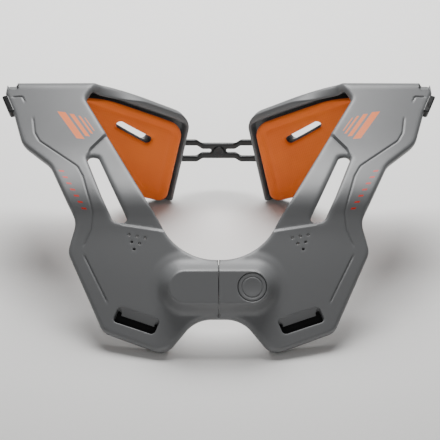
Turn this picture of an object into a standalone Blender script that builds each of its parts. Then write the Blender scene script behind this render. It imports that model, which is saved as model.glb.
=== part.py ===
"""Motocross neck brace: two saddle-shaped half frames that meet at a clasp in front of the throat
and are tied together by a flexible link behind the neck, with foam pads on the side of the wearer.

Every sheet-like piece is laid out flat as a pattern and then laid over the saddle. A pattern point is
(x, s, h): x across from the centre seam, s along the side view's path, from the chest tips up to the
shoulder ridge and down the back, and h the depth below the outer face. Metres, +Z up. The saddle is drawn
as it is worn, and the rest frame then leans it back until the chest tips and wing tips share the floor.
"""

import math

import bmesh
import bpy
import numpy as np
from mathutils import Vector
from mathutils.geometry import delaunay_2d_cdt

# Overall sizes
half_width = 0.150  # centre seam to a shoulder's outer end
brace_height = 0.1855  # chest tips to shoulder ridge, worn

# Side view of the saddle
chest_lean = math.radians(22)  # chest plate from the vertical
shoulder_lean = math.radians(43)  # shoulder plate from the vertical
wing_lean = math.radians(30)  # back wing from the vertical
knee_height = 0.095  # where the chest plate turns into the shoulder plate
knee_round = 0.060
ridge_round = 0.013
path_below = 0.012  # how far the path runs on below the chest tips
wing_path = 0.120  # length of the back wing's straight path

# Top view of the saddle
front_wrap = 0.030  # how far the shoulders lie behind the throat
wing_sweep = 0.068  # how far the wings sweep back towards the spine
sweep_start = 0.105  # distance from the centre where the sweep begins
centre_round = 0.028

# Frame walls
plate_wall = 0.005
wing_wall = 0.004
rim_depth = 0.010  # depth of the raised rim around a wing
rim_width = 0.0030
rim_draft = 0.0008  # slope of the rim's inner side
edge_round = 0.0012
seam_gap = 0.0006

# Clasp boss, release button and latch tongue
clasp_height = 0.0446
clasp_length = 0.0335  # seam to the boss's round end
clasp_width = 0.021
clasp_proud = 0.011  # boss face in front of the plate at the clasp's height
clasp_flank = 0.0050
clasp_bevel = 0.0015
button_radius = 0.0097
button_height = 0.0055
button_recess = 0.0004
button_travel = 0.0020
button_clearance = 0.0003
button_bevel = 0.0006
tongue_length = 0.021  # reach into each half
tongue_width = 0.012
tongue_wall = 0.0030
tongue_clearance = 0.0003
tongue_skin = 0.0010  # wall between the button's pocket and the tongue's slot

# Pads
piece_gap = 0.0003
pad_gap = 0.0004  # between a pad and the plate it lies on
pad_relief = 0.0010  # more of it where the plate curves over the shoulder
pad_margin = 0.0009  # between a back pad and the rim beside it
pad_free_margin = 0.0012  # between a back pad and the wing's plain edges
back_pad_thickness = 0.0078
front_pad_thickness = 0.0080
pad_floor = 0.0025  # foam left behind a webbing channel
channel_margin = 0.003
pad_edge = 0.0025  # rounding of a pad's free edge

# Webbing slots
chest_slot_length = 0.031
chest_slot_width = 0.0118
chest_slot_turn = math.radians(19)
wing_slot_length = 0.0265
wing_slot_width = 0.0085
wing_slot_turn = math.radians(-31)
slot_corner = 0.0030
slot_reach = 0.030  # how far a slot's cutter runs to each side of the plate
slot_clearance = 0.0005  # between a slot's wall and the pad's

# Vent holes in the chest plate, three rows of 3, 2 and 1
vent_radius = 0.0010
vent_pitch = 0.0056
vent_turn = math.radians(12)

# Rear link
link_height = 0.1382
link_rail = 0.0024
link_depth = 0.0030
link_reach = 0.036  # centre to the end of a tab, behind the wing
link_waist = 0.0050  # half the centre block's length
link_near_reach = 0.0104  # from the centre to where the rails are close together
link_far_reach = 0.0155  # from the centre to where they are fully apart
link_near_spread = 0.0037  # rail centre from the link's middle line
link_far_spread = 0.0064
link_stud_radius = 0.0042  # round boss in the middle of the centre block
link_stud_proud = 0.0010
link_stud_bevel = 0.0005
rivet_radius = 0.0038
rivet_head = 0.0016
rivet_shank = 0.0018
rivet_place = 0.0305

# Shoulder bumper
bumper_wall = 0.0024
bumper_depth = 0.0065
bumper_top = 0.0006  # its top edge below the plate's outer face

# Resolution of the faceted solids
outline_step = 0.0075
face_step = 0.0095
ridge_step = 0.0040
arc_step = math.radians(22)
path_step = math.radians(2)
turned_sides = 12

# Frame outline as shares. across: of half_width. up: of brace_height. side: 1 in front, -1 behind
# the shoulder ridge. corner: radius, of half_width. It runs from the seam's foot round the chest tip,
# up the outer edge, over the ridge, round the wing and down the neck edge.
frame_rows = (
    # across, up, side, corner
    (0.104, 0.127, 1, 0.150),
    (0.244, -0.006, 1, 0.069),
    (0.533, 0.077, 1, 0.055),
    (0.694, 0.370, 1, 0.046),
    (0.655, 0.478, 1, 0.069),
    (0.778, 0.695, 1, 0.055),
    (0.910, 0.775, 1, 0.069),
    (0.950, 0.890, 1, 0.023),
    (0.990, 0.965, 1, 0.030),
    (0.965, 0.960, -1, 0.040),
    (0.880, 0.880, -1, 0.080),
    (0.650, 0.850, -1, 0.080),
    (0.510, 0.745, -1, 0.100),
    (0.398, 0.598, -1, 0.060),
)
# Wing corners, outer to inner to the ridge
wing_rows = (
    # across, up, side, corner
    (0.250, 0.567, -1, 0.035),
    (0.160, 0.885, -1, 0.075),
    (0.548, 0.998, -1, 0.060),
)
neck_rows = (
    # across, up, side, corner
    (0.618, 0.945, 1, 0.040),
    (0.188, 0.3445, 1, 0.272),
)
seam_foot = 0.127
seam_head = 0.3445

# Long hole beside the neck rail
hole_rows = (
    # across, up, side, corner
    (0.618, 0.740, 1, 0.024),
    (0.537, 0.580, 1, 0.200),
    (0.480, 0.472, 1, 0.040),
    (0.418, 0.488, 1, 0.022),
    (0.557, 0.730, 1, 0.022),
)

# Places of the slots and vents: across, up, side
chest_slot_place = (0.377, 0.118, 1)
wing_slot_place = (0.407, 0.842, -1)
vent_place = (0.3740, 0.428, 1)

# End of a back pad under the shoulder, and the chest pad
pad_end_rows = (
    # across, up, side, corner
    (0.398, 0.598, -1, 0.060),
    (0.510, 0.745, -1, 0.100),
    (0.640, 0.870, -1, 0.060),
)
pad_ridge_end = 0.700  # how far out the back pad's inner edge runs on, of half_width
chest_pad_rows = (
    # across, up, side, corner
    (0.180, 0.290, 1, 0.040),
    (0.232, 0.012, 1, 0.045),
    (0.524, 0.097, 1, 0.050),
    (0.640, 0.370, 1, 0.040),
    (0.600, 0.480, 1, 0.030),
    (0.400, 0.410, 1, 0.080),
)
# Stretch of the outer edge that carries the bumper
bumper_rows = (
    # across, up
    (0.9560, 0.902),
    (0.9830, 0.952),
)


def unit(v):
    return v / np.linalg.norm(v)


def rounded(rows, step=arc_step, closed=True, longest=None):
    """Polyline through corner points (x, y, radius), each corner turned into an arc tangent to its sides."""
    points = [np.array(row[:2], float) for row in rows]
    count = len(points)
    line = []
    for i, corner in enumerate(points):
        radius = rows[i][2]
        if radius == 0 or (not closed and i in (0, count - 1)):
            line.append(corner)
            continue
        before = unit(points[i - 1] - corner)
        after = unit(points[(i + 1) % count] - corner)
        half = math.acos(max(-1.0, min(1.0, float(before @ after)))) / 2
        reach = radius / math.tan(half)
        centre = corner + unit(before + after) * radius / math.sin(half)
        start = corner + before * reach - centre
        swing = math.pi - 2 * half
        turn = math.copysign(swing, before[1] * after[0] - before[0] * after[1])
        pieces = max(1, math.ceil(swing / step), math.ceil(swing * radius / outline_step))
        for k in range(pieces + 1):
            a = turn * k / pieces
            spun = (
                start[0] * math.cos(a) - start[1] * math.sin(a),
                start[0] * math.sin(a) + start[1] * math.cos(a),
            )
            line.append(centre + np.array(spun))
    if longest:
        line = with_short_sides(line, longest, closed)
    line = np.array(line)
    apart = np.linalg.norm(line - np.roll(line, 1, axis=0), axis=1) > edge_round / 100
    return line[apart]


def with_short_sides(line, longest, closed):
    """Long sides split, their new points a hair to the right so that no three in a row are in line."""
    hair = edge_round / 400
    out = []
    last = len(line) if closed else len(line) - 1
    for i in range(last):
        a, b = line[i], line[(i + 1) % len(line)]
        length = np.linalg.norm(b - a)
        pieces = max(1, math.ceil(length / longest))
        if abs((a[1] + b[1]) / 2 - ridge_s) < ridge_band + abs(b[1] - a[1]) / 2:
            pieces = max(pieces, math.ceil(abs(b[1] - a[1]) / ridge_step))
        right = np.array([b[1] - a[1], a[0] - b[0]]) / max(length, hair)
        for k in range(pieces):
            t = k / pieces
            out.append(a + (b - a) * t + right * hair * 4 * t * (1 - t))
    if not closed:
        out.append(line[-1])
    return out


def side_path():
    """Side view of the outer face as (y, z) points, rising from the chest, rounding the ridge and falling behind."""
    rise, fall = math.pi / 2 - shoulder_lean, math.pi / 2 - wing_lean
    over = (math.sin(rise) + math.sin(fall)) / math.sin(rise + fall)
    peak_z = brace_height - ridge_round + ridge_round * over
    knee_y = knee_height * math.tan(chest_lean)
    peak_y = knee_y + (peak_z - knee_height) * math.tan(shoulder_lean)
    rows = (
        (-path_below * math.tan(chest_lean), -path_below, 0),
        (knee_y, knee_height, knee_round),
        (peak_y, peak_z, ridge_round),
        (peak_y + wing_path * math.sin(wing_lean), peak_z - wing_path * math.cos(wing_lean), 0),
    )
    return rounded(rows, path_step, closed=False)


path = side_path()
path_length = np.concatenate([[0], np.cumsum(np.linalg.norm(np.diff(path, axis=0), axis=1))])
ridge_index = int(np.argmax(path[:, 1]))
ridge_s = path_length[ridge_index]
ridge_band = ridge_round * 1.3  # stretch of path to each side of the ridge with closer points


def smooth(t):
    t = np.clip(t, 0, 1)
    return t * t * (3 - 2 * t)


def behind(s):
    """0 on the front of the saddle, 1 behind the shoulder ridge."""
    return smooth((s - ridge_s + ridge_round) / (2 * ridge_round))


def wall_depth(s):
    """Thickness of the plate, a little less in the wings."""
    return plate_wall + (wing_wall - plate_wall) * behind(s)


def surface(x, s):
    """Outer face of the saddle at pattern points: the side path, wrapped round the chest and swept to the spine."""
    near = np.hypot(x, centre_round)
    sweep = wing_sweep * np.clip(1 - near / sweep_start, 0, None) ** 2
    y = np.interp(s, path_length, path[:, 0]) + front_wrap * (x / half_width) ** 2 + sweep * behind(s)
    return np.column_stack([x, y, np.interp(s, path_length, path[:, 1])])


def placed(pattern, depth):
    """World points of pattern points at a depth below the outer face, measured along its normal."""
    x, s = pattern[:, 0], pattern[:, 1]
    reach = ridge_round / 4
    across = surface(x + reach, s) - surface(x - reach, s)
    along = surface(x, s + reach) - surface(x, s - reach)
    normal = np.cross(across, along)
    normal /= np.linalg.norm(normal, axis=1)[:, None]
    return surface(x, s) - normal * np.asarray(depth)[:, None]


def path_place(up, side):
    """Distance along the path of a height, as a share of brace_height, in front of or behind the ridge."""
    z = up * brace_height
    if side > 0:
        return float(np.interp(z, path[: ridge_index + 1, 1], path_length[: ridge_index + 1]))
    return float(np.interp(-z, -path[ridge_index:, 1], path_length[ridge_index:]))


def pattern_rows(rows):
    """Shares turned into pattern corners (x, s, radius)."""
    return [(row[0] * half_width, path_place(row[1], row[2]), row[3] * half_width) for row in rows]


def inset(rows, distances):
    """Corner rows of a counter-clockwise loop moved inwards, with one distance for each side after a corner."""
    points = [np.array(row[:2], float) for row in rows]
    count = len(points)
    moved = []
    for i, corner in enumerate(points):
        a = unit(corner - points[i - 1])
        b = unit(points[(i + 1) % count] - corner)
        left_a, left_b = np.array([-a[1], a[0]]), np.array([-b[1], b[0]])
        shift = np.linalg.solve([left_a, left_b], [distances[i - 1], distances[i]])
        least = min(distances[i - 1], distances[i])
        turning_in = a[0] * b[1] - a[1] * b[0] > 0
        radius = rows[i][2] - least if turning_in else rows[i][2] + least
        moved.append((*(corner + shift), max(radius, edge_round)))
    return moved


def counter_clockwise(rows):
    area = 0
    for i, row in enumerate(rows):
        area += rows[i - 1][0] * row[1] - row[0] * rows[i - 1][1]
    return list(rows) if area > 0 else list(rows)[::-1]


def offset(loop, distance):
    """Every point of a closed polyline moved to its left."""
    before = loop - np.roll(loop, 1, axis=0)
    after = np.roll(loop, -1, axis=0) - loop
    before /= np.linalg.norm(before, axis=1)[:, None]
    after /= np.linalg.norm(after, axis=1)[:, None]
    left = np.column_stack([-(before + after)[:, 1], (before + after)[:, 0]])
    size = 1 + np.sum(before * after, axis=1)
    return loop + distance * left / size[:, None]


def inside(points, loop):
    """True for points within a closed polyline, by counting crossings of a ray."""
    x, y = points[:, 0:1], points[:, 1:2]
    ax, ay = loop[:, 0], loop[:, 1]
    bx, by = np.roll(ax, -1), np.roll(ay, -1)
    crosses = (ay > y) != (by > y)
    run = np.where(by == ay, 1, by - ay)
    return np.sum(crosses & (x < ax + (bx - ax) * (y - ay) / run), axis=1) % 2 == 1


def distance_to(points, loop, closed=True):
    """Shortest distance from each point to a polyline."""
    ends = np.roll(loop, -1, axis=0)
    if not closed:
        loop, ends = loop[:-1], ends[:-1]
    a = loop[None, :, :]
    d = ends[None, :, :] - a
    p = points[:, None, :]
    t = np.clip(np.sum((p - a) * d, axis=2) / np.sum(d * d, axis=2), 0, 1)
    return np.linalg.norm(p - a - d * t[..., None], axis=2).min(axis=1)


def in_material(points, outline, holes):
    kept = inside(points, outline)
    for hole in holes:
        kept &= ~inside(points, hole)
    return kept


def filling(outline, holes, rings, clear):
    """Points of a triangle grid inside the material, closer together over the ridge."""
    low, high = outline.min(axis=0), outline.max(axis=0)
    rows = list(np.arange(low[1], high[1], face_step * 0.87))
    rows = [s for s in rows if abs(s - ridge_s) > ridge_band]
    rows += list(np.arange(ridge_s - ridge_band, ridge_s + ridge_band + ridge_step / 2, ridge_step))
    points = []
    for i, s in enumerate(sorted(rows)):
        for x in np.arange(low[0] + (i % 2) * face_step / 2, high[0], face_step):
            points.append((x, s))
    points = np.array(points)
    points = points[in_material(points, outline, holes)]
    for loop in [outline, *holes, *rings]:
        points = points[distance_to(points, loop) > clear]
    return points


def triangulated(outline, holes, rings, clear=face_step * 0.45):
    """Triangles between the outline and the holes, through rings and a grid. The loops' points come first."""
    loops = [outline, *holes]
    points = np.concatenate([*loops, *rings, filling(outline, holes, rings, clear)])
    edges, start = [], 0
    for loop in [*loops, *rings]:
        ids = start + np.arange(len(loop))
        sides = np.linalg.norm(loop - np.roll(loop, -1, axis=0), axis=1)
        joined = np.column_stack([ids, np.roll(ids, -1)])[sides < 2 * outline_step]
        edges += [tuple(int(i) for i in pair) for pair in joined]
        start += len(loop)
    made = delaunay_2d_cdt([Vector(p) for p in points], edges, [], 0, 1e-7, True)
    out = np.array([tuple(v) for v in made[0]])
    place = {source: i for i, sources in enumerate(made[3]) for source in sources}
    loop_ids, start = [], 0
    for loop in loops:
        loop_ids.append([place[start + i] for i in range(len(loop))])
        start += len(loop)
    faces = np.array(made[2])
    along = {(a, b) for ids in loop_ids for a, b in zip(ids, ids[1:] + ids[:1])}
    kept = in_material(out[faces].mean(axis=1), outline, holes)
    for i, (a, b, c) in enumerate(faces.tolist()):
        sides = ((a, b), (b, c), (c, a))
        if any(side in along for side in sides):
            kept[i] = True
        elif any(side[::-1] in along for side in sides):
            kept[i] = False
    return out, faces[kept], loop_ids


def mesh_object(name, points, faces, material, side=1):
    """Mesh object, mirrored across the seam plane for side -1."""
    points = np.asarray(points) * (side, 1, 1)
    mesh = bpy.data.meshes.new(name)
    mesh.from_pydata([tuple(p) for p in points], [], [tuple(int(i) for i in f) for f in faces])
    build = bmesh.new()
    build.from_mesh(mesh)
    bmesh.ops.recalc_face_normals(build, faces=build.faces)
    build.to_mesh(mesh)
    build.free()
    made = bpy.data.objects.new(name, mesh)
    worn.objects.link(made)
    made.parent = rest_frame
    if material:
        mesh.materials.append(material)
        mesh.shade_smooth()
        mesh.set_sharp_from_angle(angle=math.radians(35))
    return made


def sheet_body(name, outline, holes, outer, inner, material, side=1):
    """Closed body between two depth rules over one pattern region. outer and inner are (rings, depth rule)."""
    points, faces, start, all_ids = [], [], 0, []
    for (rings, depth_of), flip in ((outer, False), (inner, True)):
        flat, triangles, loop_ids = triangulated(outline, holes, rings)
        edge = np.full(len(flat), 1.0)
        for loop in [outline, *holes]:
            edge = np.minimum(edge, distance_to(flat, loop))
        points.append(placed(flat, depth_of(flat, edge)))
        faces += [tuple(start + t[::-1] if flip else start + t) for t in triangles]
        all_ids.append([[start + i for i in ids] for ids in loop_ids])
        start += len(flat)
    for top, bottom in zip(*all_ids):
        count = len(top)
        for i in range(count):
            j = (i + 1) % count
            faces.append((top[i], bottom[i], bottom[j]))
            faces.append((top[i], bottom[j], top[j]))
    return mesh_object(name, np.concatenate(points), faces, material, side)


def boolean(target, cutter, operation):
    """Union or cut, applied at once, and the other shape is removed."""
    modifier = target.modifiers.new(operation, "BOOLEAN")
    modifier.operation = operation
    modifier.object = cutter
    bpy.context.view_layer.update()
    graph = bpy.context.evaluated_depsgraph_get()
    mesh = bpy.data.meshes.new_from_object(target.evaluated_get(graph))
    target.modifiers.clear()
    target.data = mesh
    bpy.data.objects.remove(cutter)
    return target


def finish_material(name, colour, roughness):
    material = bpy.data.materials.new(name)
    material.use_nodes = True
    shader = material.node_tree.nodes["Principled BSDF"]
    shader.inputs["Base Color"].default_value = (*colour, 1)
    shader.inputs["Roughness"].default_value = roughness
    return material


def frame_outline():
    """Half frame's outline as pattern corners, counter-clockwise, starting at the seam's foot."""
    seam_x = seam_gap / 2
    rows = [(seam_x, path_place(seam_foot, 1), 0)]
    rows += pattern_rows(frame_rows + wing_rows + neck_rows)
    rows.append((seam_x, path_place(seam_head, 1), 0))
    return rows


def slot_loop(place, length, width, turn, corner):
    """Clockwise loop of a webbing slot in the pattern, about a place given as shares."""
    x, s = place[0] * half_width, path_place(place[1], place[2])
    c, n = math.cos(turn), math.sin(turn)
    rows = [(x + u * c - v * n, s + u * n + v * c, corner) for u, v in slot_corners(length, width)]
    return rounded(rows, longest=outline_step)


def slot_corners(length, width):
    return [(a * length / 2, b * width / 2) for a, b in ((-1, -1), (-1, 1), (1, 1), (1, -1))]


def slot_axes(place, turn):
    """Centre of a slot on the outer face, with its long, short and outward directions."""
    spot = np.array([[place[0] * half_width, path_place(place[1], place[2])]])
    step = np.array([[edge_round, 0.0]])
    across = unit((surface(*(spot + step).T) - surface(*(spot - step).T))[0])
    along = (surface(*(spot + step[:, ::-1]).T) - surface(*(spot - step[:, ::-1]).T))[0]
    outward = unit(np.cross(across, along))
    up = np.cross(outward, across)
    long_way = across * math.cos(turn) + up * math.sin(turn)
    return surface(*spot.T)[0], long_way, np.cross(outward, long_way), outward


def cut_slot(body, side, place, length, width, turn, corner):
    """Cuts a webbing slot with flat walls, square to the plate at its middle."""
    centre, long_way, short_way, outward = slot_axes(place, turn)
    profile = rounded([(u, v, corner) for u, v in slot_corners(length, width)])
    flat = centre + profile[:, :1] * long_way + profile[:, 1:] * short_way
    points = np.concatenate([flat + outward * slot_reach, flat - outward * slot_reach])
    count = len(profile)
    faces = [tuple(range(count)), tuple(range(2 * count - 1, count - 1, -1))]
    for i in range(count):
        j = (i + 1) % count
        faces.append((i, j, count + j, count + i))
    boolean(body, mesh_object("slot", points, faces, None, side), "DIFFERENCE")


def vent_loops():
    """Clockwise loops of the vents: rows of 3, 2 and 1, point down."""
    x, s = vent_place[0] * half_width, path_place(vent_place[1], vent_place[2])
    loops = []
    for row in range(3):
        for k in range(3 - row):
            u = (k - (2 - row) / 2) * vent_pitch
            v = -row * vent_pitch * 0.87
            centre = (
                x + u * math.cos(vent_turn) - v * math.sin(vent_turn),
                s + u * math.sin(vent_turn) + v * math.cos(vent_turn),
            )
            angles = -np.arange(8) * math.pi / 4
            loops.append(np.column_stack([np.cos(angles), np.sin(angles)]) * vent_radius + centre)
    return loops


def webbing_slots(grow=0.0):
    """Both slots as (place, length, width, turn, corner), grown by a clearance all round."""
    return (
        (
            chest_slot_place,
            chest_slot_length + 2 * grow,
            chest_slot_width + 2 * grow,
            chest_slot_turn,
            slot_corner + grow,
        ),
        (
            wing_slot_place,
            wing_slot_length + 2 * grow,
            wing_slot_width + 2 * grow,
            wing_slot_turn,
            slot_corner + grow,
        ),
    )


def frame_shell(side, material):
    """Half frame: thin plate with a rounded outer edge, and a deep rim along the wing's edges."""
    outline = rounded(frame_outline(), longest=outline_step)
    hole = rounded(counter_clockwise(pattern_rows(hole_rows))[::-1], longest=outline_step)
    vents = vent_loops()
    holes = [hole, *vents]
    seam_x = seam_gap / 2 + edge_round
    rim_ids = rim_stretch(outline)
    rim = outline[rim_ids]

    def outer_depth(flat, edge):
        at_seam = flat[:, 0] < seam_x
        vent = np.min([distance_to(flat, loop) for loop in vents], axis=0) < edge_round / 2
        return np.where((edge < edge_round / 2) & ~at_seam & ~vent, edge_round, 0.0)

    def inner_depth(flat, edge):
        raised = np.clip((rim_width + rim_draft - distance_to(flat, rim, False)) / rim_draft, 0, 1)
        wall = wall_depth(flat[:, 1])
        return wall + (rim_depth - wall) * raised * behind(flat[:, 1])

    ring = offset(outline, edge_round)
    ring[:, 0] = np.maximum(ring[:, 0], seam_x)
    outer_rings = [ring, offset(hole, edge_round)]
    wing_part = [offset(outline, d)[rim_ids] for d in (rim_width, rim_width + rim_draft)]
    return sheet_body(
        "frame_right" if side > 0 else "frame_left",
        outline,
        holes,
        (outer_rings, outer_depth),
        (wing_part, inner_depth),
        material,
        side,
    )


def rim_stretch(outline):
    """Indices of the outline's points from the wing's lower corner, up its inner edge and over the ridge."""
    corner = np.array(pattern_rows(wing_rows)[0][:2])
    first = int(np.argmin(np.linalg.norm(outline - corner, axis=1)))
    last = len(outline) - 1
    while outline[last, 1] < ridge_s - ridge_band:
        last -= 1
    return np.arange(first, last + 1)


def clasp_plane():
    """Y of the boss's flat face."""
    return float(surface(np.array([0.0]), np.array([path_place(clasp_height / brace_height, 1)]))[0, 1]) - clasp_proud


def clasp_outline(grow):
    """Boss seen from the front, as (x, z) points from the seam's foot round the end to the seam's head."""
    half = clasp_width / 2 + grow
    seam_x = seam_gap / 2
    angles = np.linspace(-math.pi / 2, math.pi / 2, 13)
    end_x = clasp_length - clasp_width / 2
    arc = np.column_stack([end_x + half * np.cos(angles), clasp_height + half * np.sin(angles)])
    return np.vstack([[seam_x, clasp_height - half], arc, [seam_x, clasp_height + half]])


def clasp_boss(side):
    """Raised body of the clasp, lofted from its flat face to a wider foot sunk in the plate."""
    face = clasp_outline(0)
    shoulder = clasp_outline(clasp_bevel)
    foot = clasp_outline(clasp_flank)
    foot_s = np.array([path_place(z / brace_height, 1) for z in foot[:, 1]])
    foot_y = surface(foot[:, 0], foot_s)[:, 1] + plate_wall / 2
    plane = clasp_plane()
    rings = [
        np.column_stack([face[:, 0], np.full(len(face), plane), face[:, 1]]),
        np.column_stack([shoulder[:, 0], np.full(len(face), plane + clasp_bevel), shoulder[:, 1]]),
        np.column_stack([foot[:, 0], foot_y, foot[:, 1]]),
    ]
    count = len(face)
    faces = [tuple(range(count)), tuple(range(2 * count, 3 * count))]
    for ring in range(2):
        for i in range(count):
            j = (i + 1) % count
            faces.append((ring * count + i, ring * count + j, (ring + 1) * count + j, (ring + 1) * count + i))
    return mesh_object("boss", np.concatenate(rings), faces, None, side)


def cylinder(name, radius, start, length, x, z, segments=36, material=None):
    """Cylinder along Y from a start plane."""
    build = bmesh.new()
    bmesh.ops.create_cone(
        build, cap_ends=True, segments=segments, radius1=radius, radius2=radius, depth=length
    )
    bmesh.ops.rotate(build, verts=build.verts, matrix=turn_to_y)
    bmesh.ops.translate(build, verts=build.verts, vec=(x, start + length / 2, z))
    mesh = bpy.data.meshes.new(name)
    build.to_mesh(mesh)
    build.free()
    made = bpy.data.objects.new(name, mesh)
    worn.objects.link(made)
    made.parent = rest_frame
    if material:
        mesh.materials.append(material)
    return made


def block(name, low, high, material=None):
    """Box between two corners."""
    build = bmesh.new()
    bmesh.ops.create_cube(build, size=1)
    low, high = Vector(low), Vector(high)
    bmesh.ops.scale(build, verts=build.verts, vec=high - low)
    bmesh.ops.translate(build, verts=build.verts, vec=(low + high) / 2)
    mesh = bpy.data.meshes.new(name)
    build.to_mesh(mesh)
    build.free()
    made = bpy.data.objects.new(name, mesh)
    worn.objects.link(made)
    made.parent = rest_frame
    if material:
        mesh.materials.append(material)
    return made


def bevelled(made, width, segments=2):
    modifier = made.modifiers.new("edges", "BEVEL")
    modifier.width = width
    modifier.segments = segments
    modifier.limit_method = "ANGLE"
    modifier.angle_limit = math.radians(40)
    return made


button_x = clasp_length - clasp_width / 2
pocket_depth = button_recess + button_height + button_travel + button_clearance
tongue_start = pocket_depth + tongue_skin


def half_frame(side, material):
    """Plate, clasp boss, tongue slot and, on the wearer's left, the release button's pocket."""
    plane = clasp_plane()
    frame = frame_shell(side, material)
    boolean(frame, clasp_boss(side), "UNION")
    for slot in webbing_slots():
        cut_slot(frame, side, *slot)
    reach = tongue_length + tongue_clearance
    half = tongue_width / 2 + tongue_clearance
    ends = sorted((-side * seam_gap, side * reach))
    slot = block(
        "tongue_slot",
        (ends[0], plane + tongue_start - tongue_clearance, clasp_height - half),
        (ends[1], plane + tongue_start + tongue_wall + tongue_clearance, clasp_height + half),
    )
    boolean(frame, slot, "DIFFERENCE")
    if side > 0:
        radius = button_radius + button_clearance
        lead = clasp_proud
        pocket = cylinder("pocket", radius, plane - lead, lead + pocket_depth, button_x, clasp_height)
        boolean(frame, pocket, "DIFFERENCE")
    frame.data.materials.clear()
    frame.data.materials.append(material)
    return frame


def release_button(material):
    start = clasp_plane() + button_recess
    made = cylinder("release_button", button_radius, start, button_height, button_x, clasp_height, 36, material)
    return bevelled(made, button_bevel)


def latch_tongue(material):
    plane = clasp_plane()
    half = tongue_width / 2
    low = (-tongue_length, plane + tongue_start, clasp_height - half)
    high = (tongue_length, plane + tongue_start + tongue_wall, clasp_height + half)
    return bevelled(block("latch_tongue", low, high, material), tongue_wall / 6, 1)


def pad_depth(thickness):
    """Depth rules of a pad that lies against the plate, with a rounded edge on the wearer's side."""

    def facing_frame(flat, edge):
        near_ridge = 1 - smooth(np.abs(flat[:, 1] - ridge_s) / ridge_band)
        return wall_depth(flat[:, 1]) + pad_gap + pad_relief * near_ridge

    def facing_wearer(flat, edge):
        back = wall_depth(flat[:, 1]) + pad_gap + thickness
        return np.where(edge < pad_edge / 2, back - pad_edge, back)

    return facing_frame, facing_wearer


def back_pad(side, material):
    """Foam pad in the wing's rim: its outline is the wing's, moved in past the rim, with its own end."""
    wing = pattern_rows(wing_rows)
    along = np.array(wing[2][:2]) - np.array(wing[1][:2])
    far = np.array(wing[1][:2]) + along * (pad_ridge_end * half_width - wing[1][0]) / along[0]
    rows = [*pattern_rows(pad_end_rows)[::-1], wing[0], wing[1], (*far, wing[2][2])]
    beside_rim = rim_width + rim_draft + pad_margin
    distances = [pad_free_margin] * 3 + [beside_rim] * 2 + [pad_free_margin]
    rows = inset(rows, distances)
    outline = rounded(rows, longest=outline_step)
    outer, inner = pad_depth(back_pad_thickness)
    name = "back_pad_right" if side > 0 else "back_pad_left"
    pad = sheet_body(name, outline, [], ([], outer), ([offset(outline, pad_edge)], inner), material, side)
    cut_slot(pad, side, *webbing_slots(slot_clearance)[1])
    pad.data.materials.clear()
    pad.data.materials.append(material)
    return pad


def front_pad(side, material):
    """Foam pad behind the chest plate, with a channel for the webbing behind the slot."""
    outline = rounded(counter_clockwise(pattern_rows(chest_pad_rows)), longest=outline_step)
    channel = slot_loop(*webbing_slots(channel_margin)[0])
    flat_face, inner = pad_depth(front_pad_thickness)

    def facing_frame(flat, edge):
        near = inside(flat, channel) | (distance_to(flat, channel) < edge_round / 2)
        return flat_face(flat, edge) + np.where(near, front_pad_thickness - pad_floor, 0)

    name = "front_pad_right" if side > 0 else "front_pad_left"
    rings = [channel, offset(channel, rim_draft)]
    return sheet_body(
        name, outline, [], (rings, facing_frame), ([offset(outline, pad_edge)], inner), material, side
    )


def link_edge(x):
    """Half the spread between the link's two rails at a distance from the centre."""
    t = smooth((x - link_near_reach) / (link_far_reach - link_near_reach))
    return link_near_spread + (link_far_spread - link_near_spread) * t


def rear_link(material):
    """Flexible link laid on the wings' outer face: two rails, a centre block and a tab behind each wing."""
    middle = path_place(link_height / brace_height, -1)
    half = link_rail / 2
    tab_start = rivet_place - rivet_radius * 1.5
    stations = np.linspace(link_near_reach, link_far_reach, 3).tolist()
    stations = [link_waist, *stations, (link_far_reach + tab_start) / 2, tab_start]
    spread = np.array([link_edge(x) for x in stations])
    edge = [*zip(stations, spread + half), (link_reach, spread[-1] + half)]
    edge = [(-x, v) for x, v in edge[::-1]] + [(0.0, edge[0][1])] + edge
    outer = np.array([(x, middle - v) for x, v in edge] + [(x, middle + v) for x, v in edge[::-1]])
    top = [*zip(stations, spread - half)]
    window = np.array([(x, middle + v) for x, v in top] + [(x, middle - v) for x, v in top[::-1]])
    turn = -np.arange(10) * math.pi / 5
    hole = np.column_stack([np.cos(turn), np.sin(turn)]) * (rivet_shank + piece_gap)
    loops = [ordered(window)[::-1], ordered(window * (-1, 1))[::-1]]
    loops += [hole + (rivet_place * k, middle) for k in (1, -1)]

    def near_wing(flat, edge):
        return np.full(len(flat), -piece_gap)

    def far_side(flat, edge):
        return np.full(len(flat), -piece_gap - link_depth)

    link = sheet_body("rear_link", outer, loops, ([], far_side), ([], near_wing), material)
    boolean(link, link_stud(), "UNION")
    link.data.materials.clear()
    link.data.materials.append(material)
    return link


def ordered(loop):
    """A closed polyline turned counter-clockwise."""
    ax, ay = loop[:, 0], loop[:, 1]
    bx, by = np.roll(ax, -1), np.roll(ay, -1)
    return loop if float(np.sum(ax * by - bx * ay)) > 0 else loop[::-1]


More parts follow.
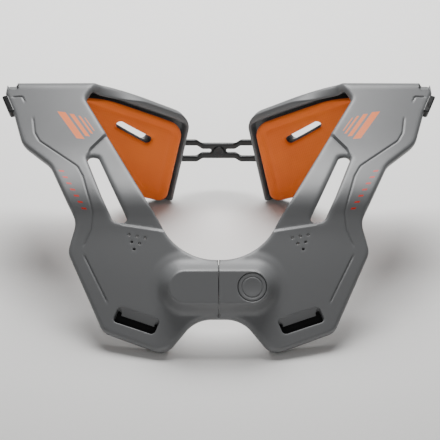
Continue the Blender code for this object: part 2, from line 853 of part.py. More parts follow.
def turned(name, profile, foot, axis, side=1):
    """Body turned about an axis, from (radius, height) points that start and end on it."""
    build = bmesh.new()
    rings = []
    for radius, height in profile:
        count = turned_sides if radius else 1
        angles = [2 * math.pi * k / count for k in range(count)]
        rings.append([build.verts.new((radius * math.cos(a), radius * math.sin(a), height)) for a in angles])
    for low, high in zip(rings, rings[1:]):
        for k in range(turned_sides):
            j = (k + 1) % turned_sides
            corners = [low[k % len(low)], low[j % len(low)], high[j % len(high)], high[k % len(high)]]
            build.faces.new(list(dict.fromkeys(corners)))
    bmesh.ops.recalc_face_normals(build, faces=build.faces)
    turn = Vector((0, 0, 1)).rotation_difference(Vector(axis)).to_matrix()
    bmesh.ops.rotate(build, verts=build.verts, matrix=turn)
    bmesh.ops.translate(build, verts=build.verts, vec=Vector(foot))
    if side < 0:
        bmesh.ops.scale(build, verts=build.verts, vec=(-1, 1, 1))
        bmesh.ops.reverse_faces(build, faces=build.faces)
    mesh = bpy.data.meshes.new(name)
    build.to_mesh(mesh)
    build.free()
    made = bpy.data.objects.new(name, mesh)
    worn.objects.link(made)
    made.parent = rest_frame
    return made


def link_stud():
    """Round boss on the wearer's side of the link's centre block, sunk half way into it."""
    spot = np.array([[0.0, path_place(link_height / brace_height, -1)]])
    foot = placed(spot, np.array([-piece_gap - link_depth / 2]))[0]
    axis = unit(placed(spot, np.array([link_depth]))[0] - foot)
    top = link_depth / 2 + link_stud_proud
    profile = (
        (0, 0),
        (link_stud_radius, 0),
        (link_stud_radius, top - link_stud_bevel),
        (link_stud_radius - link_stud_bevel, top),
        (0, top),
    )
    return turned("stud", profile, foot, axis)


def link_rivet(side, material):
    """Rivet through a link tab into the wing: a flat head on the tab and a shank that ends at the wing."""
    spot = np.array([[rivet_place, path_place(link_height / brace_height, -1)]])
    seat = placed(spot, np.array([-piece_gap - link_depth]))[0]
    foot = placed(spot, np.array([0.0]))[0]
    under_head = link_depth + 2 * piece_gap
    profile = (
        (0, piece_gap),
        (rivet_shank, piece_gap),
        (rivet_shank, under_head),
        (rivet_radius, under_head),
        (rivet_radius, under_head + rivet_head / 2),
        (rivet_radius * 0.7, under_head + rivet_head),
        (0, under_head + rivet_head),
    )
    name = "link_rivet_right" if side > 0 else "link_rivet_left"
    made = turned(name, profile, foot, unit(seat - foot), side)
    made.data.materials.append(material)
    return made


def shoulder_bumper(side, material):
    """Rubber strip along the outer edge, under the plate's face."""
    a, b = [np.array([row[0] * half_width, path_place(row[1], 1)]) for row in bumper_rows]
    along = unit(b - a)
    out = np.array([along[1], -along[0]])
    near, far = piece_gap, piece_gap + bumper_wall
    rows = [(*(a + out * near), 0), (*(a + out * far), bumper_wall * 0.8)]
    rows += [(*(b + out * far), bumper_wall * 0.8), (*(b + out * near), 0)]
    outline = rounded(rows, longest=outline_step)

    def top(flat, edge):
        return np.full(len(flat), bumper_top)

    def bottom(flat, edge):
        return np.full(len(flat), bumper_top + bumper_depth)

    name = "shoulder_bumper_right" if side > 0 else "shoulder_bumper_left"
    return sheet_body(name, ordered(outline), [], ([], top), ([], bottom), material, side)


def world_points(made):
    graph = bpy.context.evaluated_depsgraph_get()
    seen = made.evaluated_get(graph).to_mesh()
    points = np.empty(len(seen.vertices) * 3)
    seen.vertices.foreach_get("co", points)
    return points.reshape(-1, 3)


def lean_back(objects):
    """Turns and lifts the rest frame so that chest tips and wing tips stand on the floor, centred on the origin."""
    bpy.context.view_layer.update()
    points = np.concatenate([world_points(made) for made in objects])
    low, high = -math.pi / 3, 0.0
    front = points[:, 1] < np.median(points[:, 1])
    for _ in range(60):
        angle = (low + high) / 2
        height = points[:, 1] * math.sin(angle) + points[:, 2] * math.cos(angle)
        if height[front].min() < height[~front].min():
            high = angle
        else:
            low = angle
    depth = points[:, 1] * math.cos(angle) - points[:, 2] * math.sin(angle)
    rest_frame.rotation_euler = (angle, 0, 0)
    rest_frame.location = (0, -(depth.min() + depth.max()) / 2, -height.min())


def clear_scene():
    for made in list(bpy.data.objects):
        bpy.data.objects.remove(made)


def build():
    moulded = finish_material("moulded grey plastic", (0.20, 0.20, 0.20), 0.45)
    foam = finish_material("orange foam", (0.75, 0.16, 0.02), 0.70)
    dark_foam = finish_material("black foam", (0.02, 0.02, 0.02), 0.90)
    rubber = finish_material("black rubber", (0.015, 0.015, 0.015), 0.45)
    latch = finish_material("dark nylon", (0.05, 0.05, 0.05), 0.50)
    for side in (1, -1):
        half_frame(side, moulded)
        back_pad(side, foam)
        front_pad(side, dark_foam)
        link_rivet(side, latch)
        shoulder_bumper(side, rubber)
    release_button(moulded)
    latch_tongue(latch)
    rear_link(rubber)
    lean_back(list(worn.objects))


turn_to_y = Vector((0, 0, 1)).rotation_difference(Vector((0, 1, 0))).to_matrix()
clear_scene()
worn = bpy.data.collections.new("neck_brace")
bpy.context.scene.collection.children.link(worn)
rest_frame = bpy.data.objects.new("rest_frame", None)
bpy.context.scene.collection.objects.link(rest_frame)
build()
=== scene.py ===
"""Looks of the motocross neck brace, laid out as an add-on and run as a script.

Every sheet-like piece is laid out flat as a pattern and laid over one saddle, as in the part's source. A
pattern point is (x, s): x across from the centre seam, and s along the side view's path, from the chest
tips over the shoulder ridge and down the back. Depths are measured below the saddle's outer face. Metres.
"Worn" is the brace as a rider wears it, with its front view square to the camera, and at rest it leans
back on its tips.
"""

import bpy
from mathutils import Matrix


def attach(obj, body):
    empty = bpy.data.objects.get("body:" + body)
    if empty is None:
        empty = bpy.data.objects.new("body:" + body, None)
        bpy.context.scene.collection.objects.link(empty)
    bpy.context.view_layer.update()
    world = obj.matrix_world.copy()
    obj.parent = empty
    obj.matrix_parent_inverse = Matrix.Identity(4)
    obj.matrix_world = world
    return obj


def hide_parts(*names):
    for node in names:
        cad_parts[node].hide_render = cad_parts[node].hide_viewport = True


bl_info = {
    "name": "Motocross neck brace",
    "version": (1, 0, 0),
    "blender": (4, 5, 0),
    "location": "View3D > Sidebar > Neck brace",
    "description": "Adds the finished pieces of a moulded neck brace and its studio",
    "category": "Add Mesh",
}

import math

import bpy
import numpy as np
from bpy.props import FloatProperty, FloatVectorProperty, IntProperty, PointerProperty
from mathutils import Vector
from mathutils.geometry import delaunay_2d_cdt

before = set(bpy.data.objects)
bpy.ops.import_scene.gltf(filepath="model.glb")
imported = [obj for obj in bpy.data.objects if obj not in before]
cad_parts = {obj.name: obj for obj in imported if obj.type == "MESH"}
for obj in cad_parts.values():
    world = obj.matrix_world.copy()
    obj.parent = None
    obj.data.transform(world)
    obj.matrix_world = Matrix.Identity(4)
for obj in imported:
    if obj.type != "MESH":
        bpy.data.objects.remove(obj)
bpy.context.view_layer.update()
mm = 0.001

# Saddle
half_width = 0.150  # centre seam to a shoulder's outer end
brace_height = 0.1855  # chest tips to shoulder ridge, worn
chest_lean = math.radians(22)  # from the vertical, as the other leans
shoulder_lean = math.radians(43)
wing_lean = math.radians(30)
knee_height = 0.095  # where the chest plate turns into the shoulder plate
knee_round = 0.060
ridge_round = 0.013
ridge_band = ridge_round * 1.3
path_below = 0.012  # how far the path runs on below the chest tips
wing_path = 0.120
front_wrap = 0.030  # how far the shoulders lie behind the throat
wing_sweep = 0.068  # how far the wings sweep back towards the spine
sweep_start = 0.105
centre_round = 0.028
rest_lean = math.radians(-29.37555)  # from worn to rest, about the X axis
rest_place = np.array((0.0, -0.124284, 0.006757))

# Walls, gaps and small parts, as in the part's source
plate_wall = 0.005
wing_wall = 0.004
rim_depth = 0.010
rim_width = 0.0030
rim_draft = 0.0008
seam_gap = 0.0006
clasp_height = 0.0446
clasp_length = 0.0335
clasp_width = 0.021
clasp_proud = 0.011
clasp_lean = 0.40  # rise of its face backwards over its height
button_radius = 0.0097
button_height = 0.0055
button_recess = 0.0004
button_travel = 0.0020
button_clearance = 0.0003
piece_gap = 0.0003
pad_gap = 0.0004
pad_relief = 0.0010
pad_margin = 0.0006
pad_below_rim = 0.0080  # from the wing's upper edge to its pad
pad_tip_corner = 0.0065
pad_corner = 0.0120
pad_free_margin = 0.0012
back_pad_thickness = 0.0070
front_pad_thickness = 0.0080
pad_floor = 0.0025
channel_margin = 0.003
channel_flank = 1.2 * mm
press_reach = 3 * mm  # how far round its slot a back pad is pressed in
channel_lines = (-1.6, -0.8, 0, 0.8, 1.6, 2.4)  # lines of points along a back pad's channel, over its reach
slot_corner = 0.0030
slot_clearance = 0.0005
vent_radius = 0.0010
vent_pitch = 0.0056
vent_row = 0.87  # over the pitch
vent_sides = 18
vent_turn = math.radians(12)
link_height = 0.1382
link_rail = 0.0042
link_depth = 0.0030
link_reach = 0.036
link_waist = 0.0050
link_near_reach = 0.0104
link_far_reach = 0.0155
link_near_spread = 0.0037
link_far_spread = 0.0064
link_stud_radius = 0.0042
link_stud_proud = 0.0010
link_stud_flank = 0.6 * mm
stud_sides = 40
stud_rings = (-2.6, -1.4, -0.6, -0.3, 0)  # mm from the stud's edge
link_points = 90  # along each side of a rail
link_dish_depth = 0.4 * mm
link_dish_radius = 2 * mm
link_round = 0.9 * mm
link_end_corner = 3 * mm
link_window_corner = 1 * mm
rivet_radius = 0.0038
rivet_head = 0.0016
rivet_shank = 0.0018
rivet_place = 0.0305
rivet_sides = 40
rivet_room = 1.5  # from its middle to the link's window, over its radius
rivet_rim = 0.35  # share of the head's height that stands straight
bumper_wall = 0.0032
bumper_depth = 0.0065
bumper_top = 0.0002
bumper_round = 0.7 * mm
bumper_corner = 0.45  # over its wall
bumper_longer = (1.5 * mm, 1.0 * mm)  # past the outline's corners, below and above
bumper_lap = 0.0014  # how far it laps over the shoulder's rounded edge

# Outlines as shares. across: of half_width. up: of brace_height. side: 1 in front, -1 behind the ridge.
# corner: radius, of half_width
frame_rows = (
    # across, up, side, corner
    (0.104, 0.127, 1, 0.150),
    (0.244, -0.006, 1, 0.080),
    (0.533, 0.077, 1, 0.070),
    (0.694, 0.370, 1, 0.090),
    (0.655, 0.478, 1, 0.120),
    (0.778, 0.695, 1, 0.130),
    (0.910, 0.775, 1, 0.140),
    (0.950, 0.890, 1, 0.023),
    (0.990, 0.965, 1, 0.030),
    (0.965, 0.960, -1, 0.040),
    (0.880, 0.880, -1, 0.080),
    (0.650, 0.850, -1, 0.080),
    (0.510, 0.745, -1, 0.100),
    (0.398, 0.598, -1, 0.060),
)
wing_rows = (
    # across, up, side, corner
    (0.243, 0.567, -1, 0.035),
    (0.150, 0.893, -1, 0.080),
    (0.548, 0.998, -1, 0.060),
)
neck_rows = (
    # across, up, side, corner
    (0.618, 0.945, 1, 0.040),
    (0.188, 0.3445, 1, 0.272),
)
seam_foot = 0.127
seam_head = 0.3445
closed_seam = 0.00001  # from the middle to a half's seam wall
open_seam_height = 0.0600  # above it the halves part by seam_gap
seam_opens_over = 1 * mm
hole_rows = (
    # across, up, side, corner
    (0.618, 0.740, 1, 0.024),
    (0.537, 0.580, 1, 0.200),
    (0.480, 0.472, 1, 0.040),
    (0.418, 0.488, 1, 0.022),
    (0.557, 0.730, 1, 0.022),
)
pad_end_rows = (
    # across, up, side, corner
    (0.398, 0.598, -1, 0.060),
    (0.510, 0.745, -1, 0.100),
    (0.640, 0.870, -1, 0.060),
)
pad_ridge_end = 0.700
chest_pad_rows = (
    # across, up, side, corner
    (0.180, 0.290, 1, 0.040),
    (0.232, 0.012, 1, 0.045),
    (0.524, 0.097, 1, 0.050),
    (0.640, 0.370, 1, 0.040),
    (0.600, 0.480, 1, 0.030),
    (0.400, 0.410, 1, 0.080),
)
bumper_rows = (
    # across, up
    (0.9560, 0.902),
    (0.9830, 0.952),
)
# Webbing slots: across, up, side, length, width, turn
chest_slot = (0.377, 0.118, 1, 0.031, 0.0118, math.radians(19))
pad_slot_width = 0.0042  # the pad's own slot, a little narrower than the wing's
wing_slot = (0.407, 0.842, -1, 0.0265, 0.0085, math.radians(-31))
vent_place = (0.3740, 0.428, 1)

# Surface lines of the frame in its worn front view, as (across, up, corner)
crease_rows = (
    (0.1288, 0.1628, 0),
    (0.1274, 0.1511, 0.006),
    (0.1240, 0.1453, 0.008),
    (0.0978, 0.1279, 0.008),
    (0.0939, 0.1211, 0.008),
    (0.0867, 0.0959, 0.010),
    (0.0881, 0.0833, 0.010),
    (0.0934, 0.0709, 0),
)
rib_rows = (
    (0.0934, 0.0680, 0),
    (0.0755, 0.0321, 0),
)
tab_rows = (
    (0.1456, 0.1758, 0),
    (0.1362, 0.1762, 0.0015),
    (0.1340, 0.1712, 0),
)
# Sunken rail between the long hole and the neck, and where it meets the plate above and below
rail_rows = (
    (0.0745, 0.1546, 0),
    (0.0891, 0.1405, 0.003),
    (0.0912, 0.1360, 0.003),
    (0.0860, 0.1280, 0),
    (0.0700, 0.0925, 0),
    (0.0677, 0.0867, 0.003),
    (0.0380, 0.0822, 0),
    (0.0300, 0.0950, 0),
    (0.0620, 0.1600, 0),
)

# Notch in the shoulder's upper edge
notch_place = 0.1430
notch_width = 0.0066
notch_depth = 0.0024
notch_foot = 0.1812
notch_flank = 0.7 * mm
notch_slope = 1.2 * mm

# Grooves and rail
groove_end = 5 * mm  # over which a groove runs out
tab_narrower = 0.8
rail_low = 0.110  # height where the rail's step starts to widen, downwards
rail_change = 0.012

# Resolution
outline_step = 0.8 * mm
line_step = 0.8 * mm
path_step = 0.5 * mm
arc_step = math.radians(7)
sharp_angle = math.radians(48)  # edges that turn more are shaded sharp
sides = ((1, "right"), (-1, "left"))


def linear(hex_colour):
    """Linear RGB of an sRGB hex value: a straight line at the dark end, a power of 2.4 above it."""
    srgb = np.array([int(hex_colour[i : i + 2], 16) for i in (1, 3, 5)]) / 255
    return tuple(float(v) for v in np.where(srgb <= 0.04045, srgb / 12.92, ((srgb + 0.055) / 1.055) ** 2.4))


def unit(v):
    """Vectors along the last axis divided by their length."""
    return v / np.maximum(np.linalg.norm(v, axis=-1, keepdims=True), 1e-12)


def smooth(t):
    """The cubic 3t^2 - 2t^3, level at 0 and at 1."""
    t = np.clip(t, 0, 1)
    return t * t * (3 - 2 * t)


def rounded(rows, step, closed=True):
    """Polyline through corners (x, y, radius). A corner is an arc that starts its radius over the tangent
    of half the corner's angle away from it, and the straight stretches between arcs are cut into equal
    steps."""
    corners = np.array([row[:2] for row in rows], float)
    radii = np.array([row[2] for row in rows], float)
    if not closed:
        radii[[0, -1]] = 0
    before = unit(np.roll(corners, 1, axis=0) - corners)
    after = unit(np.roll(corners, -1, axis=0) - corners)
    half = np.arccos(np.clip((before * after).sum(axis=1), -1, 1)) / 2
    half = np.maximum(half, 1e-6)
    start = corners + before * (radii / np.tan(half))[:, None]
    centre = corners + unit(before + after) * (radii / np.sin(half))[:, None]
    swing = (np.pi - 2 * half) * np.sign(before[:, 1] * after[:, 0] - before[:, 0] * after[:, 1])
    stretches = []
    for i, radius in enumerate(radii):
        pieces = 0
        if radius:
            pieces = max(1, math.ceil(abs(swing[i]) * radius / step), math.ceil(abs(swing[i]) / arc_step))
        angle = swing[i] * np.linspace(0, 1, pieces + 1) if pieces else np.zeros(1)
        arm = start[i] - centre[i]
        across = arm[0] * np.cos(angle) - arm[1] * np.sin(angle)
        along = arm[0] * np.sin(angle) + arm[1] * np.cos(angle)
        arc = centre[i] + np.column_stack([across, along])
        stretches.append(arc)
        if closed or i < len(radii) - 1:
            gap = start[(i + 1) % len(radii)] - arc[-1]
            parts = max(1, math.ceil(np.linalg.norm(gap) / step))
            stretches.append(arc[-1] + gap * np.linspace(0, 1, parts + 1)[1:-1, None])
    return np.concatenate(stretches)


def side_path():
    """Side view of the outer face as (y, z): up the chest plate, round the knee, up to the ridge, round
    it and down the wing. The peak is where the two straight sides would cross above the ridge's arc."""
    rise, fall = math.pi / 2 - shoulder_lean, math.pi / 2 - wing_lean
    over = (math.sin(rise) + math.sin(fall)) / math.sin(rise + fall)
    peak_z = brace_height - ridge_round + ridge_round * over
    knee_y = knee_height * math.tan(chest_lean)
    peak_y = knee_y + (peak_z - knee_height) * math.tan(shoulder_lean)
    rows = (
        (-path_below * math.tan(chest_lean), -path_below, 0),
        (knee_y, knee_height, knee_round),
        (peak_y, peak_z, ridge_round),
        (peak_y + wing_path * math.sin(wing_lean), peak_z - wing_path * math.cos(wing_lean), 0),
    )
    return rounded(rows, path_step, closed=False)


path = side_path()
path_length = np.concatenate([[0], np.cumsum(np.linalg.norm(np.diff(path, axis=0), axis=1))])
ridge_index = int(np.argmax(path[:, 1]))
ridge_s = path_length[ridge_index]


def behind(s):
    """0 on the front of the saddle and 1 behind the ridge, turning smoothly over the ridge's width."""
    return smooth((s - ridge_s + ridge_round) / (2 * ridge_round))


def wall_depth(s):
    """Thickness of the plate, turning smoothly into the wing's over the ridge."""
    return plate_wall + (wing_wall - plate_wall) * behind(s)


def height_at(s):
    """Worn height of the side path at s."""
    return np.interp(s, path_length, path[:, 1])


def path_place(up, side=1):
    """Distance along the path of heights in metres, in front of the ridge or, for side -1, behind it."""
    if side > 0:
        return np.interp(up, path[: ridge_index + 1, 1], path_length[: ridge_index + 1])
    return np.interp(-np.asarray(up), -path[ridge_index:, 1], path_length[ridge_index:])


def saddle(x, s):
    """Outer face, worn: the side path at s, moved back by a parabola of x, and behind the ridge also by
    the square of how near x is to the spine."""
    near = np.hypot(x, centre_round)
    sweep = wing_sweep * np.clip(1 - near / sweep_start, 0, None) ** 2
    y = np.interp(s, path_length, path[:, 0]) + front_wrap * (x / half_width) ** 2 + sweep * behind(s)
    return np.stack([x, y, height_at(s)], axis=-1)


def saddle_normal(x, s):
    """Outward unit normal: across the saddle times along it."""
    reach = ridge_round / 4
    across = saddle(x + reach, s) - saddle(x - reach, s)
    along = saddle(x, s + reach) - saddle(x, s - reach)
    return unit(np.cross(across, along))


def placed(pattern, depth):
    """Worn points of pattern points at a depth below the outer face."""
    x, s = pattern[..., 0], pattern[..., 1]
    return saddle(x, s) - saddle_normal(x, s) * np.asarray(depth)[..., None]


def at_rest(points):
    """Worn points turned about X by the rest lean and moved to their place on the floor."""
    c, n = math.cos(rest_lean), math.sin(rest_lean)
    turn = np.array(((1, 0, 0), (0, c, n), (0, -n, c)))
    return points @ turn + rest_place


def pattern_rows(rows):
    """Share rows turned into pattern corners (x, s, radius)."""
    made = []
    for across, up, side, corner in rows:
        made.append((across * half_width, float(path_place(up * brace_height, side)), corner * half_width))
    return made


def front_line(rows, step=line_step, closed=False):
    """Pattern polyline of a line that was laid out in the worn front view."""
    return rounded([(x, float(path_place(up)), corner) for x, up, corner in rows], step, closed)


def turned_to(loop, area_sign):
    """A closed polyline turned counter-clockwise for 1 or clockwise for -1."""
    x, y = loop[:, 0], loop[:, 1]
    area = np.sum(x * np.roll(y, -1) - np.roll(x, -1) * y)
    return loop if area * area_sign > 0 else loop[::-1]


least_mitre = 0.3  # limits a corner's step where a line turns back sharply
block_size = 2000


def leftward(loop, closed=True):
    """For each point of a polyline, the step to its left that moves both of its sides by 1: the sum of
    their left normals over 1 plus their cosine."""
    before, after = unit(loop - np.roll(loop, 1, axis=0)), unit(np.roll(loop, -1, axis=0) - loop)
    if not closed:
        before[0], after[-1] = after[0], before[-1]
    both = before + after
    left = np.column_stack([-both[:, 1], both[:, 0]])
    return left / np.maximum(1 + (before * after).sum(axis=1), least_mitre)[:, None]


def blocks(points):
    """The points in blocks, so that a table of each against many others stays small."""
    return np.array_split(points, max(1, len(points) // block_size))


def inside(points, loops):
    """True where a ray from the point crosses the closed polylines an odd number of times."""
    start = np.concatenate(loops)
    end = np.concatenate([np.roll(loop, -1, axis=0) for loop in loops])
    run = np.where(end[:, 1] == start[:, 1], 1, end[:, 1] - start[:, 1])
    found = []
    for block in blocks(points):
        x, y = block[:, 0:1], block[:, 1:2]
        crosses = (end[:, 1] > y) != (start[:, 1] > y)
        ahead = x < start[:, 0] + (end[:, 0] - start[:, 0]) * (y - start[:, 1]) / run
        found.append(np.sum(crosses & ahead, axis=1) % 2 == 1)
    return np.concatenate(found)


def distance_to(points, line, closed=False):
    """Shortest distance from each point to a polyline, by its foot on every side."""
    a = line if closed else line[:-1]
    d = (np.roll(line, -1, axis=0) if closed else line[1:]) - (line if closed else line[:-1])
    size = np.maximum((d * d).sum(axis=1), 1e-18)
    found = []
    for block in blocks(points):
        away = block[:, None, :] - a
        t = np.clip((away * d).sum(axis=2) / size, 0, 1)
        found.append(np.linalg.norm(away - d * t[..., None], axis=2).min(axis=1))
    return np.concatenate(found)


def nearest(points, others):
    """Distance from each point to the nearest of some others."""
    found = []
    for block in blocks(points):
        found.append(np.linalg.norm(block[:, None, :] - others, axis=2).min(axis=1))
    return np.concatenate(found)


line_clearance = 0.62  # how near a line's point may lie to others, over line_step
grid_clearance = 0.6  # the same for a grid's point, over the grid's pitch
grid_row = 0.866  # from row to row of a triangular grid, over its pitch


def filled(loops, lines, pitch):
    """Points and triangles of a pattern region. loops hold the material on their left. Points of the
    lines and of a triangular grid that lie in it, clear of the rest, are joined by a Delaunay
    triangulation. Four far points round them keep its outer border away from the loops."""
    edge = np.concatenate(loops)
    chosen = [edge]
    for line in lines:
        line = line[inside(line, loops)]
        if len(line):
            line = line[nearest(line, np.concatenate(chosen)) > line_clearance * line_step]
            chosen.append(line)
    low, high = edge.min(axis=0), edge.max(axis=0)
    across, up = np.arange(low[0], high[0], pitch), np.arange(low[1], high[1], pitch * grid_row)
    x, s = np.meshgrid(across, up)
    x = x + (np.arange(len(x)) % 2)[:, None] * pitch / 2
    grid = np.column_stack([x.ravel(), s.ravel()])
    grid = grid[inside(grid, loops)]
    grid = grid[nearest(grid, np.concatenate(chosen)) > grid_clearance * pitch]
    points = np.concatenate([*chosen, grid])
    ends = np.cumsum([len(loop) for loop in loops])
    starts = ends - [len(loop) for loop in loops]
    runs = [np.arange(a, b) for a, b in zip(starts, ends)]
    edges = np.concatenate([np.column_stack([run, np.roll(run, -1)]) for run in runs])
    far = (low + high) / 2 + 2 * (high - low) * ((-1, -1), (1, -1), (1, 1), (-1, 1))
    made = delaunay_2d_cdt([*points.tolist(), *far.tolist()], edges.tolist(), [], 0, 1e-9, False)
    out = np.array(made[0])
    if len(out) != len(points) + 4 or np.abs(out[:-4] - points).max() > 1e-6:
        raise RuntimeError("a pattern's lines cross or touch")
    triangles = np.array(made[2])
    triangles = triangles[(triangles < len(points)).all(axis=1)]
    kept = inside(points[triangles].mean(axis=1), loops)
    count = len(points)
    ahead = edges[:, 0] * count + edges[:, 1]
    sides = np.stack([triangles, np.roll(triangles, -1, axis=1)])
    with_edge = np.isin(sides[0] * count + sides[1], ahead).any(axis=1)
    against = np.isin(sides[1] * count + sides[0], ahead).any(axis=1)
    return points, triangles[with_edge | (kept & ~against)]


class Shell:
    """Collects surface patches of one closed body, as arrays of worn points, pattern coordinates, edge
    marks and faces, and welds them where they meet."""

    def __init__(self, side=1):
        """side is 1 for the right half and -1 for a body that is mirrored to the left."""
        self.side = side
        self.points, self.pattern, self.edge, self.faces = [], [], [], []
        self.count = 0

    def add(self, points, pattern, edge, faces):
        """Keeps points with their faces, which are numbered on from those already there."""
        self.points.append(points)
        self.pattern.append(pattern)
        self.edge.append(np.broadcast_to(edge, len(points)))
        self.faces += (faces + self.count).tolist()
        self.count += len(points)

    def patch(self, points, pattern, triangles, flipped):
        """Triangles of a face, turned round where it looks the other way."""
        self.add(points, pattern, 0.0, triangles[:, ::-1] if flipped else triangles)

    def strip(self, points, pattern, edge):
        """Grid of loop points by profile points, closed round the loop."""
        around, across = points.shape[:2]
        ids = np.arange(around * across).reshape(around, across)
        ahead = np.roll(ids, -1, axis=0)
        corners = (ids[:, :-1], ids[:, 1:], ahead[:, 1:], ahead[:, :-1])
        quads = np.stack(corners, axis=-1).reshape(-1, 4)
        self.add(points.reshape(-1, 3), pattern.reshape(-1, 2), edge.ravel(), quads)

    def mesh(self, name):
        """Mesh at rest, with points nearer than 2 micrometres made one, faces outwards, the pattern as a
        UV map and the edge marks as an attribute."""
        points = at_rest(np.concatenate(self.points)) * (self.side, 1, 1)
        keys = np.round(points / (2e-3 * mm)).astype(np.int64)
        _, first, where = np.unique(keys, axis=0, return_index=True, return_inverse=True)
        where = where.ravel()
        faces = [list(dict.fromkeys(face)) for face in map(where.__getitem__, self.faces)]
        faces = [face[:: self.side] for face in faces if len(face) > 2]
        made = bpy.data.meshes.new(name)
        made.from_pydata(points[first].tolist(), [], faces)
        corner = np.empty(len(made.loops), np.int64)
        made.loops.foreach_get("vertex_index", corner)
        pattern = np.concatenate(self.pattern)[first][corner]
        laid_out = made.uv_layers.new(name="pattern")
        laid_out.uv.foreach_set("vector", pattern.astype(np.float32).ravel())
        marks = made.attributes.new("edge", "FLOAT", "POINT")
        marks.data.foreach_set("value", np.concatenate(self.edge)[first].astype(np.float32))
        made.shade_smooth()
        made.set_sharp_from_angle(angle=sharp_angle)
        return made


def finished(mesh, material, body, node):
    """Object of a mesh whose place is in its points. It rides on a body and stands for a CAD node."""
    made = bpy.data.objects.new(mesh.name, mesh)
    bpy.context.scene.collection.objects.link(made)
    mesh.materials.append(material)
    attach(made, body)
    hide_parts(node)
    return made


def sided(name, side):
    """A piece's name for its side."""
    return f"{name}_{dict(sides)[side]}"


def level(depth):
    """Rule for a face that lies at one depth all over."""
    return lambda points: np.full(len(points), depth)


def quarter(count):
    """Angles of a quarter turn."""
    return np.linspace(0, math.pi / 2, count)[None, :]


def round_edge(loop, top, bottom, top_round, foot_round):
    """Edge of a sheet body: inset and depth of a profile that leaves the top face at top_round, runs down
    a quarter ellipse to the side, and down another one to foot_round on the bottom face."""
    top, bottom = np.broadcast_to(top, len(loop))[:, None], np.broadcast_to(bottom, len(loop))[:, None]
    arc = quarter(6)
    inset = np.hstack([top_round * (1 - np.sin(arc)) + 0 * top, foot_round * (1 - np.cos(arc)) + 0 * top])
    depth = np.hstack([top + top_round * (1 - np.cos(arc)), bottom - foot_round * (1 - np.sin(arc))])
    return inset, depth


def sheet_mesh(
    name, side, loops, top, bottom, rounds, lines=(), top_lines=(), pitch=1.6 * mm, top_pitch=3 * mm
):
    """Closed sheet body over a pattern region. top and bottom give the depth of pattern points on its two
    faces, and the edge of every loop is rounded into both by the two radii in rounds. The bottom's net
    keeps the points of lines, and the top's those of top_lines."""
    shell = Shell(side)
    tops, feet = [], []
    for loop in loops:
        step = leftward(loop)
        inset = round_edge(loop, 0, 0, *rounds)[0]
        pattern = loop[:, None, :] + step[:, None, :] * inset[..., None]
        above, below = top(pattern[:, 0]), bottom(pattern[:, -1])
        depth = round_edge(loop, above, below, *rounds)[1]
        half = depth.shape[1] // 2
        cover = np.concatenate([np.ones(half), np.linspace(1, 0, depth.shape[1] - half)])
        shell.strip(placed(pattern, depth), pattern, np.broadcast_to(cover, depth.shape).copy())
        tops.append(pattern[:, 0])
        feet.append(pattern[:, -1])
    faces = ((tops, top, False, top_lines, top_pitch), (feet, bottom, True, lines, pitch))
    for region, rule, flipped, kept_lines, space in faces:
        points, triangles = filled(region, kept_lines, space)
        shell.patch(placed(points, rule(points)), points, triangles, flipped)
    return shell.mesh(name)


def turned_mesh(name, profile, foot, axis, count, side=1, lean=0.0):
    """Body turned about an axis: each profile point (radius, height) goes round a circle. The upper half
    leans, so that its face follows the clasp's."""
    axis = unit(np.array(axis, float))
    off_axis = (1.0, 0.3, 0.2)
    flat = unit(np.cross(axis, off_axis))
    angle = np.linspace(0, 2 * math.pi, count, endpoint=False)[:, None, None]
    around = flat * np.cos(angle) + np.cross(axis, flat) * np.sin(angle)
    radius, height = np.array(profile, float).T
    points = foot + around * radius[None, :, None] + axis * height[None, :, None]
    points[..., 1] += lean * (points[..., 2] - foot[2]) * (height > height.max() / 2)
    pattern = np.stack([points[..., 0], points[..., 2]], axis=-1)
    shell = Shell(side)
    shell.strip(points[:, ::-1], pattern[:, ::-1], np.zeros(points.shape[:2]))
    return shell.mesh(name)


def clasp_plane(z=clasp_height):
    """Y of the clasp's flat face, worn: it leans back a little with height."""
    middle = float(saddle(np.zeros(1), path_place(np.array([clasp_height])))[0, 1]) - clasp_proud
    return middle + clasp_lean * (z - clasp_height)


def clasp_distance(x, z):
    """Distance outside the clasp's face, a bar with a round end about a stretch from the seam to the
    button."""
    over = np.clip(x - (clasp_length - clasp_width / 2), 0, None)
    return np.hypot(over, z - clasp_height) - clasp_width / 2


def knee_wave(z, s, sizes):
    """Wave of the height about the knee, so that the plate drops steeply between a proud crest above and
    a hollow below: u*exp((1 - u^2) / 2) above, and u*exp(1/2 + u) below, where it comes back slowly."""
    u = (z - sizes.knee_line) / np.where(z > sizes.knee_line, sizes.knee_above, sizes.knee_below)
    above = sizes.knee_above * u * np.exp((1 - u * u) / 2)
    below = sizes.knee_below * u * np.exp(0.5 + np.minimum(u, 0))
    return sizes.knee_slope * np.where(u > 0, above, below) * (s < ridge_s)


def frame_forward(pattern, sizes):
    """How far the frame's face stands in front of the saddle: by the knee's wave, and at the clasp as far
    as its flat plane, falling off beside it as the square of the way that is left."""
    x, s = pattern[..., 0], pattern[..., 1]
    z = height_at(s)
    wave = knee_wave(z, s, sizes)
    away = np.clip(clasp_distance(x, z), 0, None)
    way = (np.hypot(away, sizes.clasp_round) - sizes.clasp_round) / sizes.clasp_flank
    share = np.clip(1 - way, 0, 1) ** 2 * (s < ridge_s)
    y = saddle(x, s)[..., 1]
    near_clasp = smooth((away - sizes.clasp_flank) / sizes.clasp_flank)
    return wave * near_clasp + (y - clasp_plane(z)) * share


